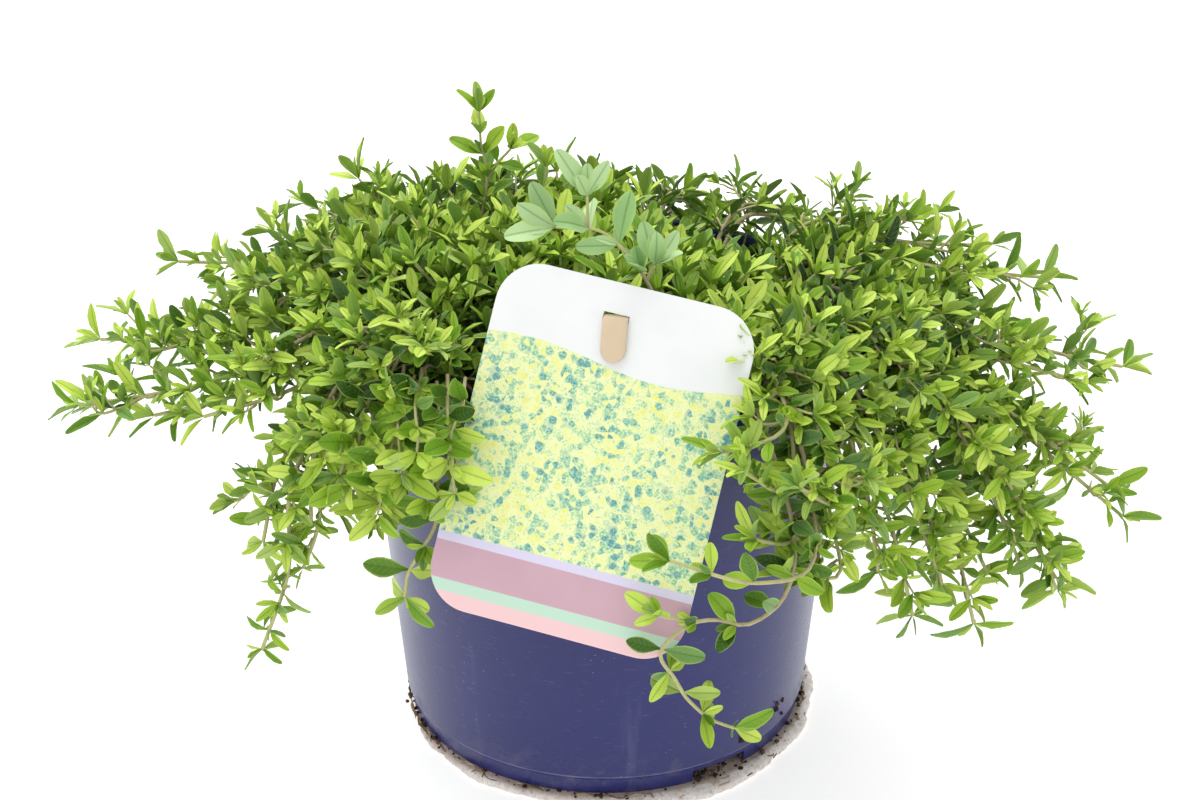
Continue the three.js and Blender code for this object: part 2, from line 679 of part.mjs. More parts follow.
function thicketShoots(thicket, random) {
  const faces = thicketFaces(thicket);
  const shoots = LAID_SHOOTS.map((point) => {
    const tip = vec(...point);
    const above = ({ middle, out }) => middle.clone().addScaledVector(out, THICKET_SHOOT_REACH[1]);
    const miss = (face) => tip.distanceTo(above(face));
    const best = faces.reduce((one, other) => (miss(other) < miss(one) ? other : one));
    const bend = best.middle.clone().lerp(tip, 0.5).addScaledVector(best.out, THICKET_SHOOT_ARCH);
    return { key: best.key, tube: growShoot(best, [bend, tip]) };
  });
  for (let i = 0; i < THICKET_SHOOTS; i++) {
    const face = faces[Math.floor(random() * faces.length)];
    const reach = between(THICKET_SHOOT_REACH, random());
    const bend = face.middle.clone().addScaledVector(face.out, reach / 2);
    const tip = bend.clone().addScaledVector(face.out, reach / 3).add(vec(0, 0, reach / 3));
    shoots.push({ key: face.key, tube: growShoot(face, [bend, tip]) });
  }
  return shoots;
}

// Two solids cross when their common part is more than a touch

function crosses(one, other) {
  const a = one.box;
  const b = other.box;
  const apart = [0, 1, 2].some((axis) => a.min[axis] > b.max[axis] || b.min[axis] > a.max[axis]);
  return !apart && one.solid.intersect(other.solid).volume() > CROSSING;
}

function probe(solid) {
  return { solid, box: solid.boundingBox() };
}

// Growing: first the thicket and every stem, then the shoots, then the leaves. A shoot or a leaf is left out
// where it would cross anything that is already there.

function growPlant(fixed) {
  const taken = fixed.map(probe);
  const sprout = (host, key, tube) => {
    const trial = probe(tubeSolid(tube));
    if (host.sprouts.has(key) || taken.some((other) => crosses(trial, other))) return false;
    taken.push(trial);
    host.sprouts.set(key, tube);
    return true;
  };
  const random = numbers(SEED);
  const thicket = growThicket(random);
  const shoots = thicketShoots(thicket, random);
  const nodes = [{ name: 'thicket', foot: vec(0, 0, 0), tube: thicket, shoots, random }];
  LAID_STEMS.forEach(([name, through, count], i) => {
    const draw = numbers(SEED + 1 + i);
    const turn = draw() * TURN;
    const points = stemPoints(through);
    const tube = growTube({
      points,
      radii: [BASE_RADIUS, TIP_RADIUS],
      leafyFrom: LEAFY_FROM,
      spacing: PAIR_SPACING,
      side: vec(Math.cos(turn), Math.sin(turn), 0)
    });
    const shoots = Array.from({ length: count }, (_, order) => shootFrom(tube, order, count, draw));
    nodes.push({ name, foot: points[0], tube, shoots, random: draw });
  });
  nodes.forEach(({ tube }) => taken.push(probe(tubeSolid(tube))));
  for (const node of nodes) {
    node.tubes = node.shoots.filter(({ key, tube }) => sprout(node.tube, key, tube)).map(({ tube }) => tube);
  }
  for (const node of nodes) {
    const stations = node.tubes.length < 2 ? BROAD_LEAF : NARROW_LEAF;
    for (const tube of [node.tube, ...node.tubes].filter(({ nodes: pairs }) => pairs.length)) {
      leavesOf(tube, stations, node.random).forEach(({ host, key, leaf }) => sprout(host, key, leaf));
    }
  }
  for (const { key, face: [a, b, c, d] } of thicketFaces(thicket)) {
    const face = random() < 0.5 ? [a, b, c, d] : [c, d, a, b];
    const spread = between(THICKET_LEAF_LEAN, random());
    const size = between(THICKET_LEAF_SIZE, random());
    const turn = THICKET_LEAF_TURN * (2 * random() - 1);
    sprout(thicket, key, growLeaf(face, spread, size, BROAD_LEAF, turn));
  }
  return nodes.map(({ name, foot, tube }) => ({ name, foot, solid: tubeSolid(tube) }));
}

// The whole object

const violet = finish(0x4b4c7a, 0.42);
const earth = finish(0x3a2c22, 0.95);
const chalk = finish(0xcdc4b8, 0.9);
const card = finish(0xf2f3ee, 0.35);
const beige = finish(0xe0d0ba, 0.5);
const leafGreens = [0x7f9c2c, 0x6f9430, 0x8fae3a, 0x668a34];

function add(parent, name, solid, material) {
  const mesh = new THREE.Mesh(toGeometry(solid), material);
  mesh.name = name;
  parent.add(mesh);
}

const group = new THREE.Group();
const frame = labelFrame();
const pot = potSolid();
const label = labelSolid();
const stake = stakeSolid();
const hung = [label, stake].map((solid) => solid.transform(frame.matrixWorld.elements));
const plants = growPlant([pot, ...hung]);
const holes = [
  stakeHole(frame.matrixWorld),
  ...plants.map(({ name, foot }) => roundHole(foot, name === 'thicket' ? THICKET_FOOT : BASE_RADIUS))
];

add(group, 'root_mat', matSolid(), chalk);
add(group, 'pot', pot, violet);
add(group, 'compost', compostSolid(holes), earth);
group.add(frame);
add(frame, 'plant_label', label, card);
add(frame, 'label_stake', stake, beige);
plants.forEach((plant, i) => {
  add(group, plant.name, plant.solid, finish(leafGreens[i % leafGreens.length], 0.55));
});

export default group;
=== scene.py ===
import math
import random

import bmesh
import bpy
from mathutils import Matrix, Vector


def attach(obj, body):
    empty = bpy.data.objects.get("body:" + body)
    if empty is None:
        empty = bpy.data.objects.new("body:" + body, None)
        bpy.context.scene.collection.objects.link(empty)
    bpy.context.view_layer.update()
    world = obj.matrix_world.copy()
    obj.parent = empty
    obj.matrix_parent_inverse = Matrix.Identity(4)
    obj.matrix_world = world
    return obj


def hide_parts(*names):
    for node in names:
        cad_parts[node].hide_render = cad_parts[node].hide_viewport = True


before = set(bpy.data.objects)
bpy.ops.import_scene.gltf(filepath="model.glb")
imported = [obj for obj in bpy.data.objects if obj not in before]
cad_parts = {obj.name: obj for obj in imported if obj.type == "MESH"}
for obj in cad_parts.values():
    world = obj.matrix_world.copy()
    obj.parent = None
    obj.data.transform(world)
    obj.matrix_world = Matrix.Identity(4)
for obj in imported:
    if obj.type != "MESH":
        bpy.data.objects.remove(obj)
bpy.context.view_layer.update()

# Potted golden lemon thyme. Sizes are millimetres in this script and metres in Blender.

MM = 0.001
TURN = 2 * math.pi
GOLDEN_ANGLE = 2.39996

# Pot: heights are above its underside, which stands on the root mat; angles are radians
POT_BASE = 3.3
POT_HEIGHT = 130
POT_TOP = POT_BASE + POT_HEIGHT
LIP_RADIUS = 76
LIP_HEIGHT = 9
WALL_TOP_RADIUS = 73
WALL_FOOT_RADIUS = 63.3
FOOT_RADIUS = 61.9
FOOT_STEP = 6
WALL = 1.5
FLOOR_LOW = 2.6
FLOOR_TOP = 4.4
SLOT_COUNT = 3
SLOT_SIZE = (9, 19, 4.8)
SLOT_ANGLE = -0.98

# Root mat, which reaches furthest to the front right
MAT_THICKNESS = 3
MAT_EDGE = 1.3
MAT_RADIUS = 64
MAT_SPREAD = 3
MAT_SPREAD_ANGLE = -0.75

# Compost, and the holes that the stems stand in
COMPOST_TOP = POT_TOP - 17
COMPOST_RELIEF = 1.6
HOLE_DEPTH = 9
GAP = 0.3

# Label card: it hangs from the middle of its slot's front edge
LABEL_SIZE = (71.3, 96)
LABEL_CORNER = 12
LABEL_THICKNESS = 0.8
LABEL_TILT = 0.464
LABEL_YAW = -0.175
LABEL_ROLL = -0.166
LABEL_SLOT = (-2.6, 38.5)
LABEL_SLOT_SIZE = (7.1, 2.3)
LABEL_HANG = (2.6, 160)
LABEL_STEPS = {"corner": 14, "half_flat": 6, "edge": 4}
LABEL_BOW = 0.5
UV_SPAN = 100

# Stake strip: its tongue lies on the card's face, and its foot stands in the compost
STAKE_WIDTH = 6.8
STAKE_THICKNESS = 1.2
STAKE_TONGUE = 12
STAKE_DEPTH = 24

# Stems: how they leave the compost, and the rule for the shoots that the solids have too
BASE_RADIUS = 1.5
TIP_RADIUS = 0.55
COLLAR_RISE = 6
FOOT_REACH = (8, 0.6)
LEAFY_FROM = 0.4
NODE_SHIFT = 0.6
NODE_SPACING = 14
SHOOT_REACH = (17, 28)
SHOOT_RISE = (0.0, 0.4)
# how far a shoot's bend and its tip lie ahead, out and aside, as shares of its reach
SHOOT_BEND = (0.3, 0.2, 0.2)
SHOOT_TIP_AHEAD = (0.5, 0.75)
SHOOT_TIP = (0.2, 0.4)

# Finer side shoots: where on the stem, how far they reach, and how far apart they stand there and on the
# stem's companions
SIDE_STRETCH = (0.32, 0.9)
SIDE_REACH = (8, 19)
SIDE_SPACING = 11
COMPANION_SPACING = 13
# their share of that reach, and how steeply the flattest and the steepest turn up
USUAL_HABIT = (0.85, 0.0, 0.5)
TUFT_REACH = (3, 7)
# how far a level stem lifts its end
END_RISE = 1.0
# a stem is level where its last stretch rises or falls by less than this
LEVEL_DROP = 20

# Kinds of twig: its radius, how young its leaves are and their size, each from foot to end; where on it the
# leaves begin; how far apart its pairs of leaves stand; and how much shorter it ends
MAIN_STEM = {"thick": (BASE_RADIUS * 0.55, TIP_RADIUS), "leafy_from": 0.28, "youth": (0.15, 0.85), "gap": 6.5}
SIDE_TWIG = {"thick": (0.45, 0.3), "leafy_from": 0.15, "youth": (0.3, 0.95), "vigour": (0.86, 0.8),
             "gap": 4.8}
SHOOT = {"thick": (0.55, 0.35), "leafy_from": 0.15, "youth": (0.4, 0.95), "vigour": (0.92, 0.84), "gap": 5.0,
         "trim": 5}
TUFT = {"thick": (0.35, 0.25), "leafy_from": 0.5, "youth": (0.5, 0.95), "vigour": (0.62, 0.55), "gap": 4.0}
CROWN_SHOOT = {"thick": (0.65, 0.38), "leafy_from": 0.38, "youth": (0.2, 0.95), "vigour": (0.95, 0.95),
               "gap": 6.5, "trim": 8}
FILL_SHOOT = {"thick": (0.65, 0.38), "leafy_from": 0.3}
SPRIG_STEM = {"thick": (0.75, 0.5), "youth": (0.2, 0.8)}
SPRIG_TWIG = {"thick": (0.55, 0.38), "leafy_from": 0.1, "youth": (0.35, 0.95), "step": 2.0}
# a root's leaves would begin beyond its end, so it has none
ROOT = {"leafy_from": 1.1, "step": 0.9}

# Seeds of the random draws; the first is the one that the solids grow from
SEED = 41
SPRAY_LEAF_SEED = 40
QUARTER_SEED = 500
QUARTER_LEAF_SEED = 900
THICKET_SEED = 77
ROOT_SEED = 301
CRUMB_SEED = 9
FOOT_CRUMB_SEED = 12

# Stems laid round the rim: the points that each one passes through after it leaves the compost,
# and how many side shoots the solids give it
LAID_STEMS = {
    "stem_left_low": ([(-64, -19, 143), (-108, -32, 127), (-150, -35, 118)], 3),
    "stem_left_long": ([(-65, -8, 147), (-108, -12, 131), (-149, -10, 128)], 3),
    "stem_left_upper": ([(-66, 12, 147), (-98, 18, 142), (-129, 20, 139)], 2),
    "stem_left_inner": ([(-66, 2, 146), (-92, 4, 144), (-112, 3, 139)], 3),
    "stem_back_left_low": ([(-60, 30, 146), (-82, 42, 146), (-95, 50, 146)], 2),
    "stem_hanging_left": ([(-62, -44, 144), (-86, -60, 112), (-90, -62, 80), (-99, -62, 54)], 2),
    "stem_low_left": ([(-66, -34, 143), (-90, -50, 112), (-97, -55, 86)], 2),
    "stem_over_left_rim": ([(-49, -58, 143), (-46, -70, 122), (-46, -76, 106), (-51, -77, 96), (-55, -77, 89),
                            (-56, -77, 81)], 0),
    "stem_front_left": ([(-54, -50, 144), (-66, -64, 132), (-72, -72, 116)], 2),
    "stem_back_left": ([(-52, 45, 145), (-76, 68, 133), (-88, 82, 112)], 2),
    "stem_back_middle_left": ([(-28, 62, 144), (-42, 88, 128), (-50, 104, 104)], 2),
    "stem_back_middle": ([(-4, 68, 144), (-6, 96, 126), (-8, 112, 98)], 2),
    "stem_back_middle_right": ([(20, 65, 144), (30, 90, 127), (36, 106, 102)], 2),
    "stem_back_right": ([(42, 54, 144), (62, 78, 130), (74, 92, 108)], 2),
    "stem_right_upper": ([(60, 32, 147), (84, 38, 146), (104, 45, 145)], 2),
    "stem_right_shoulder": ([(66, 18, 147), (98, 27, 143), (120, 34, 139)], 2),
    "stem_right_high": ([(68, 8, 146), (106, 14, 140), (133, 20, 134)], 2),
    "stem_right_long": ([(69, -4, 146), (112, -8, 129), (154, -5, 117)], 3),
    "stem_right_low": ([(68, -15, 145), (110, -24, 118), (147, -30, 90)], 3),
    "stem_right_drooping": ([(65, -27, 145), (103, -37, 112), (132, -42, 72)], 3),
    "stem_right_hanging": ([(60, -38, 144), (90, -52, 110), (107, -52, 56)], 3),
    "stem_front_right_low": ([(54, -48, 144), (74, -66, 112), (87, -66, 68)], 2),
    "stem_over_label": ([(41, -57, 145), (47, -82, 138), (30, -92, 133)], 1),
    "stem_front_right": ([(50, -60, 144), (60, -88, 118), (51, -98, 126)], 1),
    "stem_across_label": ([(47, -69, 141), (55, -98, 108), (40, -108, 104), (17, -107, 110)], 1),
    "stem_trailing": ([(37, -68, 141), (46, -86, 124), (50, -95, 107), (47, -99, 94), (38, -101, 87),
                       (30, -103, 89.5), (22.5, -106, 90), (15.5, -109, 85), (15, -107, 79),
                       (18.5, -102, 70.5), (22.5, -97, 60), (29, -93, 51), (35.5, -91, 47)], 0),
}

# the size of a stem's leaves, where it isn't the usual one
VIGOUR = {
    "stem_front_left": 1.08,
    "stem_hanging_left": 0.72,
    "stem_low_left": 0.82,
    "stem_front_right": 1.05,
    "stem_left_low": 0.95,
    "stem_left_long": 0.95,
    "stem_over_label": 0.85,
    "stem_left_upper": 0.84,
    "stem_back_left_low": 0.86,
    "stem_right_upper": 0.8,
    "stem_right_shoulder": 0.86,
    "stem_back_right": 0.86,
    "stem_back_middle_right": 0.86,
}
# how far to the side of a stem each of its companions ends
BESIDE = {
    "stem_left_low": [(18, -2, -3), (34, -10, 0), (38, 8, 0)],
    "stem_left_long": [(14, 9, -2), (30, -8, -3)],
    "stem_left_upper": [(22, 2, -18), (28, -8, -18)],
    "stem_left_inner": [(6, -10, -6), (4, 12, -6)],
    "stem_back_left_low": [(12, 4, -6), (0, -12, -8)],
    "stem_hanging_left": [(12, 4, 22)],
    "stem_low_left": [(15, -6, 6), (32, -10, 8)],
    "stem_front_left": [(10, -4, -10), (-12, 6, -6), (6, 2, 2)],
    "stem_back_left": [(10, 8, -4), (-10, -8, 0)],
    "stem_back_middle_left": [(10, 2, -4), (-12, -4, 0)],
    "stem_back_middle": [(12, 0, -4), (-12, -4, 0)],
    "stem_back_middle_right": [(-10, -2, -8)],
    "stem_back_right": [(10, -6, -8)],
    "stem_right_upper": [(-12, -4, -22), (-24, -10, -26)],
    "stem_right_shoulder": [(-10, -8, -14), (-22, 2, -14)],
    "stem_right_high": [(-12, -8, -12), (-22, 6, -12)],
    "stem_right_long": [(-10, -10, -2), (-22, 8, -4), (-30, -14, -16)],
    "stem_right_low": [(-14, 8, 4), (-24, -10, -4), (8, 0, -12)],
    "stem_right_drooping": [(-10, 10, 10), (-20, -8, -2), (2, 0, -9)],
    "stem_right_hanging": [(-10, -6, 14), (14, 8, 14), (26, 6, 6)],
    "stem_front_right_low": [(-10, -4, 14), (8, 6, 8)],
    "stem_front_right": [(-4, 0, -26), (-14, -2, -14), (-17, -1, 6), (6, 8, -34)],
}
# reach and steepness of the side shoots, where they differ from most
HABIT = {
    "stem_back_middle_right": (0.6, -0.4, 0.1),
    "stem_back_right": (0.6, -0.4, 0.1),
    "stem_back_middle": (0.7, -0.3, 0.2),
    "stem_right_upper": (0.6, -0.6, -0.1),
    "stem_right_shoulder": (0.7, -0.4, 0.1),
    "stem_right_high": (0.8, -0.2, 0.2),
    "stem_right_long": (0.8, -0.2, 0.25),
    "stem_left_upper": (0.6, -0.6, -0.1),
    "stem_back_left_low": (0.7, -0.4, 0.1),
    "stem_left_inner": (0.8, -0.1, 0.3),
    "stem_low_left": (0.42, 0.0, 0.4),
    "stem_hanging_left": (0.55, 0.0, 0.4),
}

# The crowded middle: tips of the shoots laid one by one, and the low dome that the others fill
LAID_SHOOTS = [
    (-82, 50, 162), (-92, 38, 146), (-52, 50, 158), (-17, 50, 166), (-3, 60, 156), (14, 60, 153),
    (31, 62, 140), (51, 64, 134), (64, 58, 128), (40, -52, 158), (62, -58, 150),
    (-46, -58, 142), (-66, -48, 140), (-102, -18, 142), (-98, 8, 143), (-86, -36, 146), (-70, 38, 150),
    (-62, 10, 166), (-60, -22, 164), (104, -20, 144), (108, 6, 141), (88, 28, 135), (86, -44, 140),
    (66, -14, 156), (60, 12, 150), (78, -62, 134), (-20, 84, 140), (8, 84, 134), (38, 78, 130),
]

THICKET_REACH = (66, 60, 44)
THICKET_FILL = 210
THICKET_QUARTERS = 4
THICKET_CROWN = 154
THICKET_SINK = 13
# a dip at the back right, where the far rim shows: its depth, and its middle and half width across
THICKET_DIP = (11, 42, 44)

# Sprigs in full view, each on twigs laid one by one: the points of a twig, the size of its leaves, and how
# far apart its pairs of leaves stand
SPRIG_TWIGS = {
    "trailing": [([(22, -105, 90), (20, -107, 92), (14, -108, 94)], 0.8, 6.0)],
    "rosette": [
        ([(-45, -72, 124), (-49, -75, 119), (-54, -76, 116)], 1.0, 7.0),
        ([(-46, -62, 140), (-45, -74, 129), (-48, -80, 113)], 1.0, 7.0),
        ([(-52, -60, 141), (-58, -72, 125), (-63, -77, 106)], 1.0, 7.0),
        ([(-38, -64, 142), (-39, -75, 137), (-43, -80, 126)], 1.0, 7.0),
        ([(-55, -58, 143), (-56, -72, 133), (-55, -79, 121)], 0.95, 6.0),
        ([(-43, -62, 142), (-42, -77, 133), (-40, -83, 117)], 0.95, 6.0),
        ([(-60, -54, 142), (-66, -67, 131), (-69, -73, 114)], 0.95, 6.0),
        ([(-50, -60, 143), (-51, -74, 136), (-50, -81, 128)], 0.9, 5.5),
    ],
    "tall": [
        ([(-38, 35, 148), (-36, 35, 163), (-38, 35, 174), (-38, 34, 183)], 0.88, 6.5),
        ([(-36, 35, 161), (-33, 35, 166), (-29, 34, 171)], 0.8, 5.0),
        ([(-21, 35, 150), (-19, 35, 158), (-18, 35, 165)], 0.8, 6.0),
    ],
    "pale": [
        ([(14, -55, 160), (8, -53, 171), (-2, -48, 178), (-13, -44, 178)], 1.2, 9.0),
        ([(-5, -47, 178), (-5, -47, 183), (-5, -47, 188)], 1.15, 10.0),
        ([(11, -54, 166), (12, -54, 169), (13, -55, 171)], 1.3, 5.0),
    ],
}
# the laid stem that a sprig grows on, where its leaves begin, their size and how far apart the pairs stand
SPRIG_STEMS = {
    "across": ("stem_across_label", 0.55, 0.85, 11.0),
    "trailing": ("stem_trailing", 0.4, 0.92, 12.0),
    "rosette": ("stem_over_left_rim", 0.32, 0.95, 8.5),
}
# each sprig's seed, a slot name, and where its leaves turn their upper sides
SPRIGS = {
    "across": (700, "leaf_deep", (0.1, -0.85, 0.5)),
    "trailing": (701, "leaf_mid", (0.1, -0.85, 0.5)),
    "rosette": (702, "leaf_bright", (-0.1, -0.8, 0.6)),
    "tall": (719, "leaf_bright", (0, -0.6, 0.8)),
    "pale": (704, "leaf_bright", (0, -0.75, 0.65)),
}

# Leaves: where along a leaf its points lie, and how far across
FINE_LEAF = ([0.08, 0.24, 0.46, 0.7, 0.88, 0.97], [-1, 0, 1])
BROAD_LEAF = ([0.06, 0.16, 0.3, 0.46, 0.62, 0.76, 0.87, 0.94, 0.985], [-1, -0.5, 0, 0.5, 1])
SMALL_LEAF = ([0.3, 0.68, 0.93], [-1, 0, 1])
LEAF_THICKNESS = 0.03
# each shape's points, its width and where it is widest, and how far it folds, curls and twists; the last two
# shapes of a kind are for its small leaves
SLENDER_LEAVES = {
    "leaf_full": (FINE_LEAF, 0.37, 0.58, 0.3, 0.1, 0.1),
    "leaf_narrow": (FINE_LEAF, 0.27, 0.55, 0.42, 0.2, -0.15),
    "leaf_oval": (FINE_LEAF, 0.35, 0.59, 0.26, 0.02, 0.2),
    "leaf_curled": (FINE_LEAF, 0.31, 0.56, 0.42, 0.3, -0.05),
    "leaf_small": (SMALL_LEAF, 0.34, 0.57, 0.34, 0.12, 0.1),
    "leaf_smallest": (SMALL_LEAF, 0.3, 0.55, 0.3, 0.15, 0.0),
}
BROAD_LEAVES = {
    "broad_leaf": (BROAD_LEAF, 0.47, 0.57, 0.26, 0.08, 0.1),
    "broad_leaf_flat": (BROAD_LEAF, 0.43, 0.55, 0.22, 0.02, -0.12),
    "broad_leaf_curled": (BROAD_LEAF, 0.4, 0.57, 0.3, 0.16, 0.05),
    "broad_leaf_small": (FINE_LEAF, 0.46, 0.57, 0.3, 0.1, 0.1),
    "broad_leaf_smallest": (FINE_LEAF, 0.42, 0.56, 0.26, 0.08, 0.0),
}
# how long a leaf of the usual size is, how much that varies, up to what length a leaf is small, and the share
# that a leaf in an axil and each further pair at a tip lose
LEAF_LENGTH = 12.6
LEAF_SIZES = (0.74, 1.12)
SMALL_LENGTH = 7.6
AXIL_LOSS = 0.45
TIP_LOSS = 0.2
# a leaf's place round its twig: how far it strays, and how far a small leaf in an axil stands to the side,
# which is the first value less the second for each pair of small leaves up to its own
LEAF_STRAY = 0.3
AXIL_ASIDE = (1.95, 1.3)
# how far a leaf leans towards its twig's end, and how much more at a tip, at each further pair of a tip and
# in an axil
LEAF_LEAN = (0.15, 0.75)
TIP_LEAN = 0.25
FURTHER_LEAN = 0.22
AXIL_LEAN = 0.4
# how far it rolls about its midrib, and what share of the way to upright its tip lifts
LEAF_ROLL = 0.45
LEAF_RISE = 0.2

# Roots on the mat, and loose crumbs on the compost and round the foot
ROOT_COUNT = 150
ROOT_RADII = (0.16, 0.34)
ROOT_TIP_RADIUS = 0.12
CRUMB_SHAPES = ("crumb_a", "crumb_b", "crumb_c")
CRUMB_COUNT = 1500
CRUMB_REACH = 69
CRUMB_SIZE = 3.4
FOOT_CRUMB_SIZE = 2.0
SLOT_CRUMBS = 46
RING_CRUMBS = 150
WALL_CRUMBS = 16
WALL_CRUMB_ANGLES = (-0.9, -0.55)
WALL_CRUMB_HEIGHTS = (9, 17)
WALL_LEAN = 0.078

# Floor, light and camera
FLOOR_REACH = 4000
WORLD_LIGHT = 0.86
SKYLIGHT = 2.2
SKYLIGHT_ANGLE = math.radians(70)
SKYLIGHT_WAY = Vector((0.25, -0.35, -1))
CAMERA_LENS = 69
CAMERA_SENSOR = 36
CAMERA_AIM = Vector((-1.64, 0, 103.26))
CAMERA_RISE = math.radians(26.61)
CAMERA_DISTANCE = 696.34


# Small helpers

def between(limits, share):
    return limits[0] + (limits[1] - limits[0]) * share


def add_object(name, data):
    obj = bpy.data.objects.new(name, data)
    bpy.context.scene.collection.objects.link(obj)
    return obj


def to_object(name, verts, faces, uv=None):
    """A mesh object from points in millimetres."""
    mesh = bpy.data.meshes.new(name)
    mesh.from_pydata([Vector(v) * MM for v in verts], [], faces)
    obj = add_object(name, mesh)
    if uv:
        layer = mesh.uv_layers.new(name="UVMap")
        for corner in mesh.loops:
            layer.data[corner.index].uv = uv[corner.vertex_index]
    mesh.validate()
    return obj


def add_mark(mesh, name, values):
    """Keeps a number at each point of a mesh."""
    mesh.attributes.new(name, "FLOAT", "POINT").data.foreach_set("value", values)


def face_out(mesh):
    """Turns the faces of a closed mesh outwards."""
    work = bmesh.new()
    work.from_mesh(mesh)
    bmesh.ops.recalc_face_normals(work, faces=work.faces)
    work.to_mesh(mesh)
    work.free()


def smooth(obj, angle=None):
    for polygon in obj.data.polygons:
        polygon.use_smooth = True
    if angle is not None:
        obj.data.set_sharp_from_angle(angle=angle)
    return obj


def modify(obj, kind, **settings):
    modifier = obj.modifiers.new(kind.lower(), kind)
    for key, value in settings.items():
        setattr(modifier, key, value)


def evaluated(obj, name):
    """A plain mesh object from what an object's modifiers make; the object itself goes."""
    depsgraph = bpy.context.evaluated_depsgraph_get()
    piece = add_object(name, bpy.data.meshes.new_from_object(obj.evaluated_get(depsgraph)))
    bpy.data.objects.remove(obj)
    piece.name = name
    return piece


def on_circle(radius, angle, height):
    return radius * math.cos(angle), radius * math.sin(angle), height


def dress(piece, finish):
    piece.data.materials.clear()
    piece.data.materials.append(finish)
    return piece


def place(piece, slot, *nodes):
    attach(piece, "root")
    if nodes:
        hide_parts(*nodes)
    return piece


# Growth: stems and their first shoots follow the rule of the solids, so that the sprays lie where those are

class Draw:
    """A repeatable run of numbers from 0 to 1."""

    def __init__(self, seed):
        self.state = 7919 * (seed + 1) % 2147483647

    def __call__(self):
        self.state = self.state * 16807 % 2147483647
        return self.state / 2147483647


def stem_points(through):
    x, y = through[0][:2]
    reach = math.hypot(x, y)
    foot = FOOT_REACH[0] + FOOT_REACH[1] * reach
    base = Vector((foot * x / reach, foot * y / reach, COMPOST_TOP - HOLE_DEPTH + GAP))
    collar = Vector((base.x, base.y, COMPOST_TOP + COLLAR_RISE))
    return [base, collar] + [Vector(point) for point in through]


def curve_at(points, share):
    pieces = len(points) - 1
    piece = min(int(share * pieces), pieces - 1)
    t = share * pieces - piece
    b, c = points[piece], points[piece + 1]
    a = points[piece - 1] if piece > 0 else 2 * b - c
    d = points[piece + 2] if piece < pieces - 1 else 2 * c - b
    square, cube = 2 * a - 5 * b + 4 * c - d, 3 * b - a - 3 * c + d
    return 0.5 * (2 * b + (c - a) * t + square * t * t + cube * t ** 3)


class Path:
    """A smooth line through points, measured by its length."""

    def __init__(self, points, pieces=80):
        self.points = [curve_at(points, i / pieces) for i in range(pieces + 1)]
        self.far = [0.0]
        for a, b in zip(self.points, self.points[1:]):
            self.far.append(self.far[-1] + (b - a).length)
        self.length = self.far[-1]

    def at(self, share):
        want = min(max(share, 0), 1) * self.length
        i = next((k for k, far in enumerate(self.far) if far >= want), len(self.far) - 1)
        i = max(i, 1)
        step = self.far[i] - self.far[i - 1]
        return self.points[i - 1].lerp(self.points[i], (want - self.far[i - 1]) / step if step else 0)

    def along(self, share):
        return (self.at(share + 0.02) - self.at(share - 0.02)).normalized()


class Spray:
    """The twigs of one piece, with what the geometry tree needs to know at each point."""

    def __init__(self, seed):
        self.random = random.Random(seed)
        self.verts, self.edges = [], []
        self.marks = {name: [] for name in ("thick", "leafy", "youth", "vigour", "turn", "gap")}

    def twig(self, points, thick, leafy_from, youth=(0.2, 1.0), vigour=(1.0, 1.0), gap=5.0, step=3.0,
             rise=0.0, trim=0.0):
        path = Path(points, 40)
        count = max(4, round(path.length / step))
        wander = [self.random.uniform(-1, 1) for _ in range(3)]
        turn = self.random.uniform(0, TURN)
        start = len(self.verts)
        sway_most = min(0.9, 0.03 * path.length)
        stop = 1 - trim / path.length
        for i in range(count + 1):
            share = i / count
            sway = Vector(wander) * sway_most * math.sin(3 * math.pi * share + turn) * share
            point = path.at(share * stop) + sway
            point.z += rise * max(0.0, (share - 0.75) * 4) ** 2
            self.verts.append(point)
            self.marks["thick"].append(between(thick, share))
            self.marks["leafy"].append(1.0 if share >= leafy_from else 0.0)
            self.marks["youth"].append(between(youth, max(0, (share - leafy_from) / (1 - leafy_from))))
            self.marks["vigour"].append(between(vigour, share))
            self.marks["turn"].append(turn)
            self.marks["gap"].append(gap)
        self.edges += [(start + i, start + i + 1) for i in range(count)]
        return path


def shoot_from(path, share, left, draw, reach, rise):
    """A side shoot to the left or right of a stem that curves upwards."""
    ahead = path.along(share)
    side = ahead.cross(Vector((0, 0, 1))).normalized() * left
    out = (side + Vector((0, 0, 0.4))).normalized()
    middle = path.at(share) + out

    def away(far_ahead, far_out, far_aside):
        return middle + ahead * far_ahead * reach + out * far_out * reach + side * far_aside * reach

    tip = away(between(SHOOT_TIP_AHEAD, draw()), *SHOOT_TIP)
    tip.z += between(rise, draw()) * reach
    return [middle, away(*SHOOT_BEND), tip]


def add_tufts(spray, path, shares):
    """Short shoots of small leaves in the axils."""
    chance = spray.random.random
    for share in shares:
        ahead = path.along(share)
        out = Vector([between((-1, 1), chance()) for _ in range(3)]) + Vector((0, 0, 0.8))
        out = (out - ahead * out.dot(ahead)).normalized()
        long = between(TUFT_REACH, chance())
        root = path.at(share)
        tip = root + (out + ahead * 0.6).normalized() * long
        spray.twig([root, root.lerp(tip, 0.5) + ahead * 0.4, tip], **TUFT)


